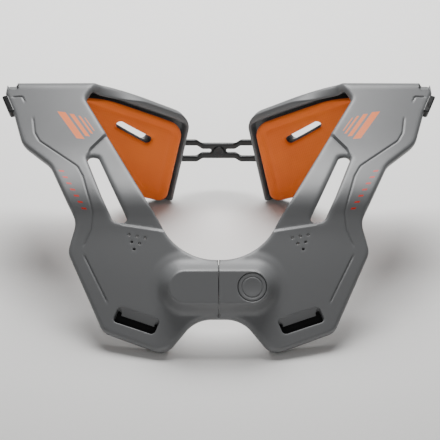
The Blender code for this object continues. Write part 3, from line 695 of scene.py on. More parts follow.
def frame_hollow(pattern, sizes):
    """Depth of what is sunk into the frame's face: grooves with straight flanks along lines, and the rail
    beside the long hole, which drops over a narrow step above and a wider one below. A notch crosses the
    shoulder's upper edge."""
    flat = pattern.reshape(-1, 2)
    hollow = np.zeros(len(flat))
    front = flat[:, 1] < ridge_s
    for rows, width, deep in (
        (crease_rows, sizes.groove_width, sizes.groove_depth),
        (rib_rows, sizes.groove_width, sizes.groove_depth),
        (tab_rows, sizes.groove_width * tab_narrower, sizes.groove_depth),
    ):
        line = front_line(rows)
        near = front & (nearest(flat, line) < 2 * width)
        away = distance_to(flat[near], line)
        ends = np.minimum(*(np.linalg.norm(flat[near] - line[i], axis=1) for i in (0, -1)))
        hollow[near] += deep * np.clip(1 - away / width, 0, 1) * smooth(ends / groove_end)
    nick = smooth((0.5 * notch_width - np.abs(flat[:, 0] - notch_place)) / notch_flank + 0.5)
    hollow += notch_depth * nick * smooth((height_at(flat[:, 1]) - notch_foot) / notch_slope)
    rail = front_line(rail_rows, closed=True)
    within = np.zeros(len(flat), bool)
    within[front] = inside(flat[front], [rail])
    deep = distance_to(flat[within], rail, closed=True)
    lower = smooth((rail_low - height_at(flat[within, 1])) / rail_change)
    step = sizes.step_above + (sizes.step_below - sizes.step_above) * lower
    hollow[within] += sizes.rail_depth * smooth(deep / step)
    return hollow.reshape(pattern.shape[:-1])


def frame_points(pattern, depth, share, sizes):
    """Worn points of the frame. share is 1 on the outer face, where it is hollowed and stands forward,
    and 0 on the wearer's side, which follows most of the knee's crest."""
    s = pattern[..., 1]
    points = placed(pattern, depth + share * frame_hollow(pattern, sizes))
    crest = knee_wave(height_at(s), s, sizes)
    crest = np.where(crest > 0, sizes.knee_inside, sizes.hollow_inside) * crest
    points[..., 1] -= share * frame_forward(pattern, sizes) + (1 - share) * crest
    return points


widest_corner = 0.49  # a slot's corner radius over its width, at most
newton_rounds = 6  # that bring a slot's points back to the saddle


def slot_loop(slot, grow=0.0):
    """Clockwise pattern loop of a webbing slot. Its corners are laid out in the plane that touches the
    saddle at the slot's middle, and each is then brought back to the saddle along that plane's normal."""
    across, up, side, long, wide, turn = slot
    middle = np.array([across * half_width, float(path_place(up * brace_height, side))])
    little = 0.1 * mm
    ways = [saddle(*(middle + d)) - saddle(*(middle - d)) for d in ((little, 0), (0, little))]
    ways = np.array(ways) / (2 * little)
    outward = unit(np.cross(*ways))
    flat_x = unit(ways[0])
    flat_up = np.cross(outward, flat_x)
    long_way = flat_x * math.cos(turn) + flat_up * math.sin(turn)
    short_way = np.cross(outward, long_way)
    reach, rise = long / 2 + grow, wide / 2 + grow
    corner = min(slot_corner, widest_corner * wide) + grow
    rows = [(a * reach, b * rise, corner) for a, b in ((-1, -1), (-1, 1), (1, 1), (1, -1))]
    profile = rounded(rows, outline_step)
    goal = saddle(*middle) + profile[:, :1] * long_way + profile[:, 1:] * short_way
    loop = np.tile(middle, (len(profile), 1))
    for _ in range(newton_rounds):
        off = goal - saddle(loop[:, 0], loop[:, 1])
        off -= (off @ outward)[:, None] * outward
        loop += np.linalg.lstsq(ways.T, off.T, rcond=None)[0].T
    return turned_to(loop, -1)


def vent_loops():
    """Clockwise loops of the vents: rows of 3, 2 and 1 on a triangular lattice, turned."""
    x, s = vent_place[0] * half_width, float(path_place(vent_place[1] * brace_height))
    places = [((k - (2 - row) / 2), -row * vent_row) for row in range(3) for k in range(3 - row)]
    c, n = math.cos(vent_turn), math.sin(vent_turn)
    angle = -np.arange(vent_sides) * math.tau / vent_sides
    ring = np.column_stack([np.cos(angle), np.sin(angle)]) * vent_radius
    return [ring + (x + (u * c - v * n) * vent_pitch, s + (u * n + v * c) * vent_pitch) for u, v in places]


def seam_place(z):
    """Distance of a half's seam wall from the middle: nearly touching, and open above the clasp."""
    return closed_seam + (seam_gap / 2 - closed_seam) * smooth((z - open_seam_height) / seam_opens_over)


clasp_ring_steps = (0.0, 0.5, 1.0, 1.6, 2.3, 3.1, 4.0, 5.0, 6.1, 7.3, 8.6)  # mm from the clasp's face
seam_steps = (1, 0.7, 0.5, 0.3, 0)  # mm above the place where the seam opens
past_seam = 0.002  # how far the clasp's rings reach past the middle


def frame_outline():
    """Counter-clockwise loop of a half frame. The seam side has more points where the clasp's flanks are
    steep."""
    foot, head = seam_foot * brace_height, seam_head * brace_height
    rows = [(float(seam_place(foot)), float(path_place(foot)), 0)]
    rows += pattern_rows(frame_rows + wing_rows + neck_rows)
    rises = np.array(clasp_ring_steps) * mm
    half = clasp_width / 2
    heights = [head, *(open_seam_height + np.array(seam_steps) * mm)]
    heights += [*(clasp_height + half + rises[rises < 4 * mm])[::-1]]
    heights += [*(clasp_height - half - rises[rises < 9 * mm])]
    rows += [(float(seam_place(z)), float(path_place(z)), 0) for z in heights]
    return rounded(rows, outline_step)


def clasp_rings():
    """Pattern points of rings round the clasp's face, closer together where its shoulder turns."""
    rings = []
    for step in (-1.6, -0.7, *clasp_ring_steps):
        half = clasp_width / 2 + step * mm
        end = clasp_length - clasp_width / 2
        rows = (
            (-past_seam, clasp_height - half, 0),
            (end + half, clasp_height - half, half * 0.999),
            (end + half, clasp_height + half, half * 0.999),
            (-past_seam, clasp_height + half, 0),
        )
        line = rounded(rows, line_step, closed=False)
        rings.append(np.column_stack([line[:, 0], path_place(line[:, 1])]))
    return rings


def beside(line, offsets, closed=False):
    """A polyline's parallels, each moved to its left by an offset."""
    return [line + leftward(line, closed) * offset for offset in offsets]


# Pattern directions square to the wing's upper rim, to the long hole's rail side and to the chest slot's
# upper wall, and the gains on the cosine between an edge's inward step and each
rim_way = (0, 1)
rail_way = (-0.97, 0.24)
slot_way = (-0.33, 0.94)
rim_gain = 1.5
rail_gain = 1.4
slot_gain = 1.3
turned_off = 0.15  # what is taken off at the rim and the slot, so that only steps near the direction count
# Width of the outer rounding over the outline's, and how much less it is on the wing
edge_shares = {"chest_slot": 0.3, "wing_slot": 0.25, "vent": 0.12}
wing_narrower = 0.35
foot_share = 0.4  # rounding on the wearer's side over the outer one
vent_foot = 0.25  # the same at a vent, over that
# Depth of the outer rounding, of the one at the rail's rolled side and of the wearer's one, over the wall
most_drop = 0.5
rail_drop = 0.62
most_foot = 0.35
rim_ahead = 2 * mm  # how far before the wing's foot the rim starts
rim_climb = 5 * mm  # over which it reaches its height
least_rim = 0.06  # share of the rim's breadth that is kept where there is no rim, so that no points meet
rim_fall = 2.5 * mm  # how far the upper rim's back rounds off below its crest
# Rim from its crest down its inner side: distance from the wing's edge in mm, share of its height
rim_profile = (
    (1.6, 1.0),
    (2.1, 0.985),
    (2.5, 0.93),
    (2.85, 0.82),
    (3.1, 0.66),
    (3.3, 0.42),
    (3.5, 0.2),
    (3.75, 0.08),
    (4.1, 0.02),
    (4.6, 0.0),
)


def facing(step, way, gain, less=0.0):
    """Share from 0 to 1 by which each of an edge's steps points along a direction."""
    return smooth((unit(step) @ np.array(way)) * gain - less)[:, None]


def frame_edge(loop, sizes, kind):
    """Edge profile of the frame along a loop, as inset, depth and face share by loop point and profile
    point. It leaves the outer face in a quarter ellipse and rounds into the wearer's side. Along the wing
    it first climbs the raised rim and comes down inside it. The rail's side of the long hole is rolled
    wider, and the chest slot's upper wall leans into the slot."""
    s = loop[:, 1]
    step = leftward(loop)
    wall = wall_depth(s)[:, None]
    dip = np.minimum(frame_forward(loop, sizes), 0)[:, None]
    thickness = wall + dip - frame_hollow(loop, sizes)[:, None]
    wide = np.full((len(loop), 1), sizes.edge_round)
    rim = np.zeros((len(loop), 1))
    lean = np.zeros((len(loop), 1))
    high = np.zeros((len(loop), 1))
    foot = sizes.edge_round * foot_share
    wide *= edge_shares.get(kind, 1)
    if kind == "outline":
        wide *= (1 - wing_narrower * behind(s))[:, None]
        corner = pattern_rows(wing_rows)[0][:2]
        first = int(np.argmin(np.linalg.norm(loop - corner, axis=1)))
        run = np.concatenate([[0], np.cumsum(np.linalg.norm(np.diff(loop, axis=0), axis=1))])
        started = smooth((run - run[first] + rim_ahead) / rim_climb)
        started = started * (s > ridge_s - ridge_band) * (run > run[first] / 2)
        rim = (started * behind(s))[:, None]
        high = facing(step, rim_way, rim_gain, turned_off) * rim
        wide += sizes.rim_back * high
    elif kind == "hole":
        rail_side = facing(step, unit(np.array(rail_way)), rail_gain)
        wide += (sizes.rail_roll - sizes.edge_round) * rail_side
    elif kind == "chest_slot":
        lean = sizes.slot_ramp * facing(step, slot_way, slot_gain, turned_off)
    elif kind == "vent":
        foot *= vent_foot
    drop = np.minimum(np.minimum(wide, sizes.edge_round), most_drop * thickness) + rim_fall * high
    if kind == "hole":
        drop = np.maximum(drop, rail_drop * thickness * rail_side)
    foot = np.minimum(foot, most_foot * thickness)
    crest = wall + (rim_depth - wall) * rim
    a, b = quarter(7), quarter(4)
    ring, share = np.array(rim_profile).T
    broad = sizes.rim_breadth + sizes.rim_broader * high
    ring = foot + (ring * mm * broad - foot) * np.maximum(rim, least_rim)
    inset = np.hstack([wide * (1 - np.sin(a)), foot * (1 - np.cos(b)) - lean, ring - lean])
    depth = [drop * (1 - np.cos(a)), crest - foot * (1 - np.sin(b)), wall + (crest - wall) * share]
    face_share = np.hstack([np.ones((len(loop), a.size)), np.zeros((len(loop), b.size + len(share)))])
    return step, inset, np.hstack(depth), face_share


# Lines of points along a groove and along the rail's step, over the width of each
groove_lines = (0, 0.5, -0.5, 1, -1, 1.8, -1.8)
rail_lines = (0, 0.5, 1, 1.6, 2.4, -0.6, -1.2)


def frame_half(side, sizes):
    """Half frame as one closed shell: outer face, wearer's face and the edges between them."""
    shell = Shell(side)
    outline = turned_to(frame_outline(), 1)
    hole = turned_to(rounded(pattern_rows(hole_rows), outline_step), -1)
    edges = [(outline, "outline"), (hole, "hole"), (slot_loop(chest_slot), "chest_slot")]
    edges += [(slot_loop(wing_slot), "wing_slot"), *((loop, "vent") for loop in vent_loops())]
    tops, feet = [], []
    for loop, kind in edges:
        step, inset, depth, share = frame_edge(loop, sizes, kind)
        if kind == "outline":
            step[loop[:, 0] < seam_gap, 0] = sizes.seam_round / sizes.edge_round
        pattern = loop[:, None, :] + step[:, None, :] * inset[..., None]
        shell.strip(frame_points(pattern, depth, share, sizes), pattern, np.ones(depth.shape))
        tops.append(pattern[:, 0])
        feet.append(pattern[:, -1])
    if side > 0:
        tops.append(button_pocket(shell, sizes))
    lines = clasp_rings()
    across_groove = [sizes.groove_width * k for k in groove_lines]
    for rows in (crease_rows, rib_rows, tab_rows):
        lines += beside(front_line(rows), across_groove)
    rail = turned_to(front_line(rail_rows, closed=True), 1)
    lines += beside(rail, [k * sizes.step_above for k in rail_lines], closed=True)
    points, triangles = filled(tops, lines, sizes.face_pitch)
    outer = frame_points(points, np.zeros(len(points)), np.ones(len(points)), sizes)
    shell.patch(outer, points, triangles, False)
    points, triangles = filled(feet, (), 2 * sizes.face_pitch)
    inner = frame_points(points, wall_depth(points[:, 1]), np.zeros(len(points)), sizes)
    shell.patch(inner, points, triangles, True)
    return shell.mesh(sided("frame_half", side))


pocket_sides = 72


def button_pocket(shell, sizes):
    """Blind round pocket in the clasp's face: a lip, a wall straight back and a flat floor."""
    radius = button_radius + button_clearance
    deep = button_recess + button_height + button_travel + button_clearance
    lip = sizes.pocket_lip
    angle = -np.arange(pocket_sides) * math.tau / pocket_sides
    a = quarter(5)[0]
    out = np.concatenate([radius + lip * (1 - np.sin(a)), radius * np.array((1, 0.6, 0))])
    back = np.concatenate([lip * (1 - np.cos(a)), [deep, deep, deep]])
    x = clasp_length - clasp_width / 2 + np.cos(angle)[:, None] * out
    z = clasp_height + np.sin(angle)[:, None] * out
    pattern = np.stack([x, path_place(z)], axis=-1)
    straight = np.minimum(back / deep, 1)
    y = clasp_plane(clasp_height + (z - clasp_height) * (1 - straight)) + back
    shell.strip(np.stack([x, y, z], axis=-1), pattern, np.ones(x.shape))
    return pattern[:, 0]


def inset_rows(rows, distances):
    """Corner rows of a counter-clockwise loop moved inwards, with one distance for each side after a
    corner."""
    corners = np.array([row[:2] for row in rows], float)
    moved = []
    for i, corner in enumerate(corners):
        a, b = unit(corner - corners[i - 1]), unit(corners[(i + 1) % len(corners)] - corner)
        normals = np.array(((-a[1], a[0]), (-b[1], b[0])))
        shift = np.linalg.solve(normals, (distances[i - 1], distances[i]))
        least = min(distances[i - 1], distances[i])
        turning_in = a[0] * b[1] - a[1] * b[0] > 0
        radius = rows[i][2] - least if turning_in else rows[i][2] + least
        moved.append((*(corner + shift), max(radius, 1 * mm)))
    return moved


def back_pad_outline():
    """Outline of the wing's pad: the wing's corners moved in past the rim, with the pad's own lower
    end."""
    wing = pattern_rows(wing_rows)
    along = np.array(wing[2][:2]) - np.array(wing[1][:2])
    far = np.array(wing[1][:2]) + along * (pad_ridge_end * half_width - wing[1][0]) / along[0]
    rows = [*pattern_rows(pad_end_rows)[::-1], wing[0], wing[1], (*far, wing[2][2])]
    beside_rim = rim_width + rim_draft + pad_margin
    rows = inset_rows(rows, [pad_free_margin] * 3 + [beside_rim, pad_below_rim, pad_free_margin])
    rows[3] = (*rows[3][:2], pad_tip_corner)
    rows[4] = (*rows[4][:2], pad_corner)
    return turned_to(rounded(rows, outline_step), 1)


def against_frame(points):
    """Depth of a pad's face beside the frame, with more room where the plate curves over the shoulder."""
    near_ridge = 1 - smooth(np.abs(points[:, 1] - ridge_s) / ridge_band)
    return wall_depth(points[:, 1]) + pad_gap + pad_relief * near_ridge


def back_pad(side, sizes):
    """Moulded pad in the wing's rim. Its face towards the wearer has a raised border, a pressed channel
    inside it, shaped as a bell curve of the distance from the edge, and a crown that rises towards the
    middle."""
    outline = back_pad_outline()
    slot = slot_loop((*wing_slot[:4], pad_slot_width, wing_slot[5]), slot_clearance)

    def facing_wearer(points):
        """Depth of the padded face."""
        away = distance_to(points, outline, closed=True)
        beside_slot = distance_to(points, slot, closed=True)
        channel = np.exp(-(((away - sizes.channel_place) / sizes.channel_reach) ** 2))
        crown = smooth((away - sizes.channel_place) / (4 * sizes.channel_place))
        pressed = 1 - smooth(beside_slot / press_reach)
        back = wall_depth(points[:, 1]) + pad_gap + back_pad_thickness
        return back - sizes.channel_depth * channel + sizes.crown * crown - sizes.slot_press * pressed

    places = [sizes.channel_place + k * sizes.channel_reach for k in channel_lines]
    lines = beside(outline, places, closed=True) + beside(slot, (press_reach / 2, press_reach), closed=True)
    name, rounds = sided("back_pad_cover", side), (0.6 * mm, sizes.pad_edge)
    return sheet_mesh(name, side, [outline, slot], against_frame, facing_wearer, rounds, lines)


def front_pad(side, sizes):
    """Foam pad behind the chest plate. The face beside the plate is pressed in along the webbing's
    channel."""
    outline = turned_to(rounded(pattern_rows(chest_pad_rows), outline_step), 1)
    channel = slot_loop(chest_slot, channel_margin)

    def facing_frame(points):
        """Depth of the face beside the plate."""
        within = inside(points, [channel])
        away = distance_to(points, channel, closed=True) * np.where(within, 1, -1)
        return against_frame(points) + (front_pad_thickness - pad_floor) * smooth(away / channel_flank + 0.5)

    def facing_wearer(points):
        """Depth of the crowned face."""
        away = distance_to(points, outline, closed=True)
        crown = smooth(away / (3 * sizes.channel_place))
        return wall_depth(points[:, 1]) + pad_gap + front_pad_thickness - sizes.crown * (1 - crown)

    name, rounds = sided("front_pad_foam", side), (1 * mm, sizes.pad_edge)
    nets = {
        "lines": beside(outline, (3 * mm, 6 * mm), closed=True),
        "top_lines": beside(channel, (-0.6 * mm, 0, 0.6 * mm), closed=True),
        "top_pitch": 1.6 * mm,
    }
    return sheet_mesh(name, side, [outline], facing_frame, facing_wearer, rounds, **nets)


def link_spread(x):
    """Half the spread between the link's rails, turning smoothly from near to far."""
    t = smooth((np.abs(x) - link_near_reach) / (link_far_reach - link_near_reach))
    return link_near_spread + (link_far_spread - link_near_spread) * t


def rail_loop(start, end, offset, corner):
    """Closed pattern loop about the link's middle line: the rails' spread plus an offset, brought to a
    round end as the root of 1 minus the square of the way into each end's corner."""
    middle = float(path_place(link_height, -1))
    x = (start + end) / 2 - (end - start) / 2 * np.cos(np.linspace(0, math.pi, link_points))
    into = np.maximum(start + corner - x, x - end + corner) / corner
    half = (link_spread(x) + offset) * np.sqrt(np.clip(1 - np.clip(into, 0, 1) ** 2, 0, 1))
    lower, upper = np.column_stack([x, middle - half]), np.column_stack([x, middle + half])
    return np.concatenate([lower, upper[-2:0:-1]])


def rear_link_mesh():
    """Flexible link: two round-edged rails, a centre block with a round boss, and a tab behind each
    wing."""
    half = link_rail / 2
    tab = rivet_place - rivet_radius * rivet_room
    loops = [turned_to(rail_loop(-link_reach, link_reach, half, link_end_corner), 1)]
    for ends in ((link_waist, tab), (-tab, -link_waist)):
        loops.append(turned_to(rail_loop(*ends, -half, link_window_corner), -1))
    middle = np.array((0.0, float(path_place(link_height, -1))))
    angle = np.linspace(0, 2 * math.pi, stud_sides, endpoint=False)
    ring = np.column_stack([np.cos(angle), np.sin(angle)])

    def near_side(points):
        """Depth of the wearer's side: the boss stands out of it, with a dish in its middle."""
        out = np.linalg.norm(points - middle, axis=1)
        dish = link_dish_depth * (1 - smooth(out / link_dish_radius))
        return -piece_gap + link_stud_proud * smooth((link_stud_radius - out) / link_stud_flank) - dish

    rings = [middle + ring * (link_stud_radius + k * mm) for k in stud_rings]
    far_side, rounds = level(-piece_gap - link_depth), (link_round, link_round)
    nets = {"lines": rings, "pitch": 0.9 * mm, "top_pitch": 1.2 * mm}
    return sheet_mesh("rear_link_rubber", 1, loops, far_side, near_side, rounds, **nets)


def rivet_mesh(side):
    """Rivet in a link tab: a shank under a domed head."""
    spot = np.array(((rivet_place, float(path_place(link_height, -1))),))
    foot, seat = placed(spot, np.array([0.0]))[0], placed(spot, np.array([-piece_gap - link_depth]))[0]
    under = link_depth + 2 * piece_gap
    a = quarter(7)[0]
    rise = rivet_rim + (1 - rivet_rim) * np.sin(a)
    dome = np.column_stack([rivet_radius * np.cos(a), under + rivet_head * rise])
    shank = [(0, piece_gap), (rivet_shank, piece_gap), (rivet_shank, under), (rivet_radius, under)]
    profile = shank + dome.tolist()
    return turned_mesh(sided("link_rivet_head", side), profile, foot, seat - foot, rivet_sides, side)


button_sides = 96
button_groove_rows = ((0.79, 0), (0.76, 0.8), (0.73, 1), (0.70, 0.8), (0.67, 0))  # share of radius, of depth
button_dish_share = 0.60  # the dish's radius over the button's


def button_mesh(sizes):
    """Round push button with a bevelled edge, a ring groove and a shallow dish in the middle."""
    y = clasp_plane() + button_recess + button_height
    foot = np.array((clasp_length - clasp_width / 2, y, clasp_height))
    r, h, bevel = button_radius, button_height, sizes.button_bevel
    a = quarter(5)[0]
    corner = np.column_stack([r - bevel + bevel * np.cos(a), h - bevel + bevel * np.sin(a)])
    groove = [(r * k, h - sizes.button_groove * d) for k, d in button_groove_rows]
    dish_radius = r * button_dish_share
    share = np.linspace(1, 0, 9)
    dish = np.column_stack([dish_radius * share, h - sizes.button_dish * (1 - share**2)])
    profile = [(0, 0), (r - bevel, 0), (r, bevel), *corner.tolist(), *groove, *dish.tolist()]
    return turned_mesh("release_button_disc", profile, foot, (0, -1, 0), button_sides, lean=clasp_lean)


def bumper_mesh(side):
    """Rubber strip along the shoulder's outer edge."""
    across, up = np.array(bumper_rows).T
    start, end = np.column_stack([across * half_width, path_place(up * brace_height)])
    along = unit(end - start)
    out = np.array([along[1], -along[0]])
    start, end = start - along * bumper_longer[0], end + along * bumper_longer[1]
    near, far = -out * bumper_lap, out * bumper_wall
    radius = bumper_wall * bumper_corner
    rows = [(*corner, radius) for corner in (start + near, start + far, end + far, end + near)]
    loop = turned_to(rounded(rows, 0.4 * mm), 1)
    top, bottom = level(bumper_top), level(bumper_top + bumper_depth)
    name, rounds = sided("shoulder_bumper_rubber", side), (bumper_round, bumper_round)
    return sheet_mesh(name, side, [loop], top, bottom, rounds, pitch=0.6 * mm, top_pitch=0.6 * mm)


def add_node(tree, kind, inputs, **settings):
    """Adds a node and returns its outputs. settings are its properties. inputs gives sockets a value or
    another node's output, in their order or by number or name."""
    made = tree.nodes.new("ShaderNode" + kind)
    for key, value in settings.items():
        setattr(made, key, value)
    for socket, value in inputs.items() if isinstance(inputs, dict) else enumerate(inputs):
        if isinstance(value, bpy.types.NodeSocket):
            tree.links.new(value, made.inputs[socket])
        else:
            made.inputs[socket].default_value = value
    return made.outputs


def new_material(name, **settings):
    """Material with a Principled shader whose plain values are set on its own sockets."""
    material = bpy.data.materials.new(name)
    material.use_nodes = True
    shader = material.node_tree.nodes["Principled BSDF"]
    for socket, value in settings.items():
        shader.inputs[socket.replace("_", " ")].default_value = value
    return material, material.node_tree, shader


def shade(colour, factor=1.0):
    """RGBA of a linear colour times a factor, at most 1."""
    return (*np.minimum(factor * np.array(colour), 1), 1)


# Settings that several nodes share: a smooth ramp from the 2nd..3rd to the 4th..5th input, a mix of colours
eased = {"interpolation_type": "SMOOTHSTEP"}
coloured = {"data_type": "RGBA"}


def printed_marks(tree, middle, turn, bars):
    """1 inside the printed bars. The group is turned about its middle on the pattern, and a bar is where
    both of its turned coordinates are within its half length and half width."""
    pattern = add_node(tree, "UVMap", (), uv_map="pattern")[0]
    moved = add_node(tree, "VectorMath", (pattern, (*middle, 0)), operation="SUBTRACT")[0]
    spun = add_node(tree, "VectorRotate", {"Vector": moved, "Angle": turn}, rotation_type="Z_AXIS")[0]
    u, v = add_node(tree, "SeparateXYZ", (spun,))[:2]
    total = 0.0
    for along, across, long, wide, slant in bars:
        sheared = add_node(tree, "Math", (v, slant, u), operation="MULTIPLY_ADD")[0]
        in_length = add_node(tree, "Math", (sheared, along * mm, long * mm / 2), operation="COMPARE")[0]
        in_width = add_node(tree, "Math", (v, across * mm, wide * mm / 2), operation="COMPARE")[0]
        bar = add_node(tree, "Math", (in_length, in_width), operation="MULTIPLY")[0]
        total = add_node(tree, "Math", (bar, total), operation="MAXIMUM")[0]
    return total


def print_groups():
    """Four slanted bars on each shoulder, each narrower than the last, and a row of short ticks down the
    arm. A group is its middle in metres on the pattern, its turn, and its bars as (along, across, length,
    width, slant) in mm."""
    shoulder = (0.101, float(path_place(0.156)))
    arm = (0.1005, float(path_place(0.1115)))
    shoulder_bars = (
        (0, -1, 29, 4.6, 0.7),
        (1, 4.4, 24, 2.6, 0.7),
        (2, 8.2, 19, 1.3, 0.7),
        (3, 10.8, 14, 0.7, 0.7),
    )
    arm_bars = tuple((k * 6.4, 0, 1.8, 3.0, 0.6) for k in range(-3, 4))
    return (shoulder, math.radians(-62), shoulder_bars), (arm, math.radians(-66), arm_bars)


def moulded_plastic(colours):
    """Nylon, injection-moulded in a spark-eroded tool: satin and evenly grey, with a fine grain of about
    0.7 mm, faint clouds of a few centimetres in its colour and gloss, lighter where edges are rubbed, and
    screen-printed bars."""
    material, tree, shader = new_material("moulded_satin_nylon", IOR=1.53, Specular_IOR_Level=0.45)
    place = add_node(tree, "TexCoord", ())["Object"]
    cloud = add_node(tree, "TexNoise", {"Vector": place, "Scale": 1 / (45 * mm), "Detail": 3.0})[0]
    grain = add_node(tree, "TexNoise", {"Vector": place, "Scale": 1 / (0.7 * mm), "Detail": 2.0})[0]
    edge = add_node(tree, "Attribute", (), attribute_name="edge")["Fac"]
    cloudy = add_node(tree, "MapRange", (cloud, 0.35, 0.65, 0.0, 0.5), **eased)[0]
    patchy = add_node(tree, "MapRange", (cloud, 0.45, 0.6, 0.05, 0.30), **eased)[0]
    worn = add_node(tree, "Math", (edge, patchy), operation="MULTIPLY")[0]
    surface = shade(colours.plastic)
    orange, red = (printed_marks(tree, *group) for group in print_groups())
    for factor, other in (
        (cloudy, shade(colours.plastic, 0.86)),
        (worn, shade(colours.plastic, 1.25)),
        (orange, shade(colours.orange_print)),
        (red, shade(colours.red_print)),
    ):
        surface = add_node(tree, "Mix", {0: factor, 6: surface, 7: other}, **coloured)[2]
    rough = add_node(tree, "MapRange", (cloud, 0.3, 0.7, 0.40, 0.50), **eased)[0]
    relief = add_node(tree, "Bump", {"Height": grain, "Distance": 0.02 * mm, "Strength": 0.6})[0]
    tree.links.new(surface, shader.inputs["Base Color"])
    tree.links.new(rough, shader.inputs["Roughness"])
    tree.links.new(relief, shader.inputs["Normal"])
    return material


def pad_fabric(colours):
    """Knitted polyester mesh, pressed over foam in a hot tool: matt and bright, with a soft sheen and
    rows of small openings, painted darker for the shade inside them, and black foam on its cut side walls,
    which also paints the shade in the gap between the pad and the wing's rim. The real pitch is about 1 mm,
    drawn at 1.7 mm so that it shows."""
    values = {"IOR": 1.46, "Roughness": 0.72, "Sheen_Weight": 0.25, "Sheen_Roughness": 0.4}
    material, tree, shader = new_material("knitted_mesh_over_foam", **values)
    pattern = add_node(tree, "UVMap", (), uv_map="pattern")[0]
    sockets = {"Vector": pattern, "Angle": math.radians(32)}
    turned = add_node(tree, "VectorRotate", sockets, rotation_type="Z_AXIS")[0]
    waves = []
    for way in add_node(tree, "SeparateXYZ", (turned,))[:2]:
        angle = add_node(tree, "Math", (way, math.tau / (1.7 * mm)), operation="MULTIPLY")[0]
        waves.append(add_node(tree, "Math", (angle,), operation="SINE")[0])
    lattice = add_node(tree, "Math", waves, operation="MULTIPLY")[0]
    opening = add_node(tree, "MapRange", (lattice, 0.1, 0.75, 0.0, 1.0), **eased)[0]
    # Painted shade: the knit's openings are coloured darker, for the shade that falls inside them
    opening_shade = add_node(tree, "Math", (opening, 0.45), operation="MULTIPLY")[0]
    place = add_node(tree, "TexCoord", ())["Object"]
    cloud = add_node(tree, "TexNoise", {"Vector": place, "Scale": 1 / (30 * mm), "Detail": 2.0})[0]
    cloudy = add_node(tree, "MapRange", (cloud, 0.35, 0.65, 0.0, 0.35), **eased)[0]
    edge = add_node(tree, "Attribute", (), attribute_name="edge")["Fac"]
    # Black foam colour on the side walls: the foam core at its cut edge, and also painted shade of the gap
    # between the pad and the wing's rim
    cut = add_node(tree, "MapRange", (edge, 0.80, 0.92, 0.0, 1.0), **eased)[0]
    surface, deep = shade(colours.fabric), shade(colours.fabric, (0.86, 0.66, 0.5))
    for factor, other in ((cloudy, deep), (opening_shade, deep), (cut, shade(colours.foam))):
        surface = add_node(tree, "Mix", {0: factor, 6: surface, 7: other}, **coloured)[2]
    thread = add_node(tree, "Math", (1.0, opening), operation="SUBTRACT")[0]
    relief = add_node(tree, "Bump", {"Height": thread, "Distance": 0.12 * mm, "Strength": 0.7})[0]
    tree.links.new(surface, shader.inputs["Base Color"])
    tree.links.new(relief, shader.inputs["Normal"])
    return material


def black_foam(colours):
    """Closed-cell foam, cut and moulded: matt black, with cells of about 0.9 mm whose hollow middles are
    painted darker, as painted shade."""
    material, tree, shader = new_material("closed_cell_foam", IOR=1.45, Roughness=0.85)
    place = add_node(tree, "TexCoord", ())["Object"]
    cells = add_node(tree, "TexVoronoi", {"Vector": place, "Scale": 1 / (0.9 * mm)})["Distance"]
    # Painted shade: a cell's hollow middle is coloured half as bright as its walls
    wall = add_node(tree, "MapRange", (cells, 0.1, 0.5, 0.0, 1.0), **eased)[0]
    sockets = {0: wall, 6: shade(colours.foam, 0.5), 7: shade(colours.foam)}
    relief = add_node(tree, "Bump", {"Height": cells, "Distance": 0.1 * mm, "Strength": 0.8})[0]
    tree.links.new(add_node(tree, "Mix", sockets, **coloured)[2], shader.inputs["Base Color"])
    tree.links.new(relief, shader.inputs["Normal"])
    return material


def mottled(name, colour, size, detail, shares, rough, bump, ior):
    """Dark moulded finish from one noise: it mixes a colour with a lighter one, and varies gloss and
    relief. shares are the noise at the darkest and lightest colour and the lighter colour's factor, rough
    the two ends of the roughness, and bump its distance and strength."""
    material, tree, shader = new_material(name, IOR=ior)
    place = add_node(tree, "TexCoord", ())["Object"]
    noise = add_node(tree, "TexNoise", {"Vector": place, "Scale": 1 / size, "Detail": detail})[0]
    low, high, lighter = shares
    share = add_node(tree, "MapRange", (noise, low, high, 0.0, 1.0), **eased)[0]
    sockets = {0: share, 6: shade(colour), 7: shade(colour, lighter)}
    relief = add_node(tree, "Bump", {"Height": noise, "Distance": bump[0], "Strength": bump[1]})[0]
    tree.links.new(add_node(tree, "Mix", sockets, **coloured)[2], shader.inputs["Base Color"])
    gloss = add_node(tree, "MapRange", (noise, 0.3, 0.7, *rough), **eased)[0]
    tree.links.new(gloss, shader.inputs["Roughness"])
    tree.links.new(relief, shader.inputs["Normal"])
    return material


def black_rubber(colours):
    """Thermoplastic rubber, moulded in a polished tool: smooth and black, with a soft gloss and faint
    dulled patches of about 6 mm."""
    shares, rough, bump = (0.4, 0.7, 1.8), (0.28, 0.42), (0.05 * mm, 0.4)
    return mottled("moulded_black_rubber", colours.rubber, 6 * mm, 3.0, shares, rough, bump, 1.5)


def dark_nylon(colours):
    """Dark nylon, moulded in a plain tool: half matt, with a faint grain of about 0.8 mm."""
    shares, rough, bump = (0.35, 0.7, 1.5), (0.42, 0.55), (0.03 * mm, 0.5)
    return mottled("dark_moulded_nylon", colours.latch, 0.8 * mm, 2.0, shares, rough, bump, 1.53)


made_materials = {}


def kept(maker, colours):
    """The material of a maker, made once."""
    name = maker.__name__
    if name not in made_materials:
        made_materials[name] = maker(colours)
    return made_materials[name]


# Lights, in metres from the brace's middle, as worn: the key above it and a little behind, the fill in front
key_above, key_behind, key_size = 0.8, 0.10, 0.6
fill_ahead, fill_below, fill_size = 1.6, 0.2, 1.2
middle_depth = 0.1  # from the chest's face back to the point that the camera and lights look at


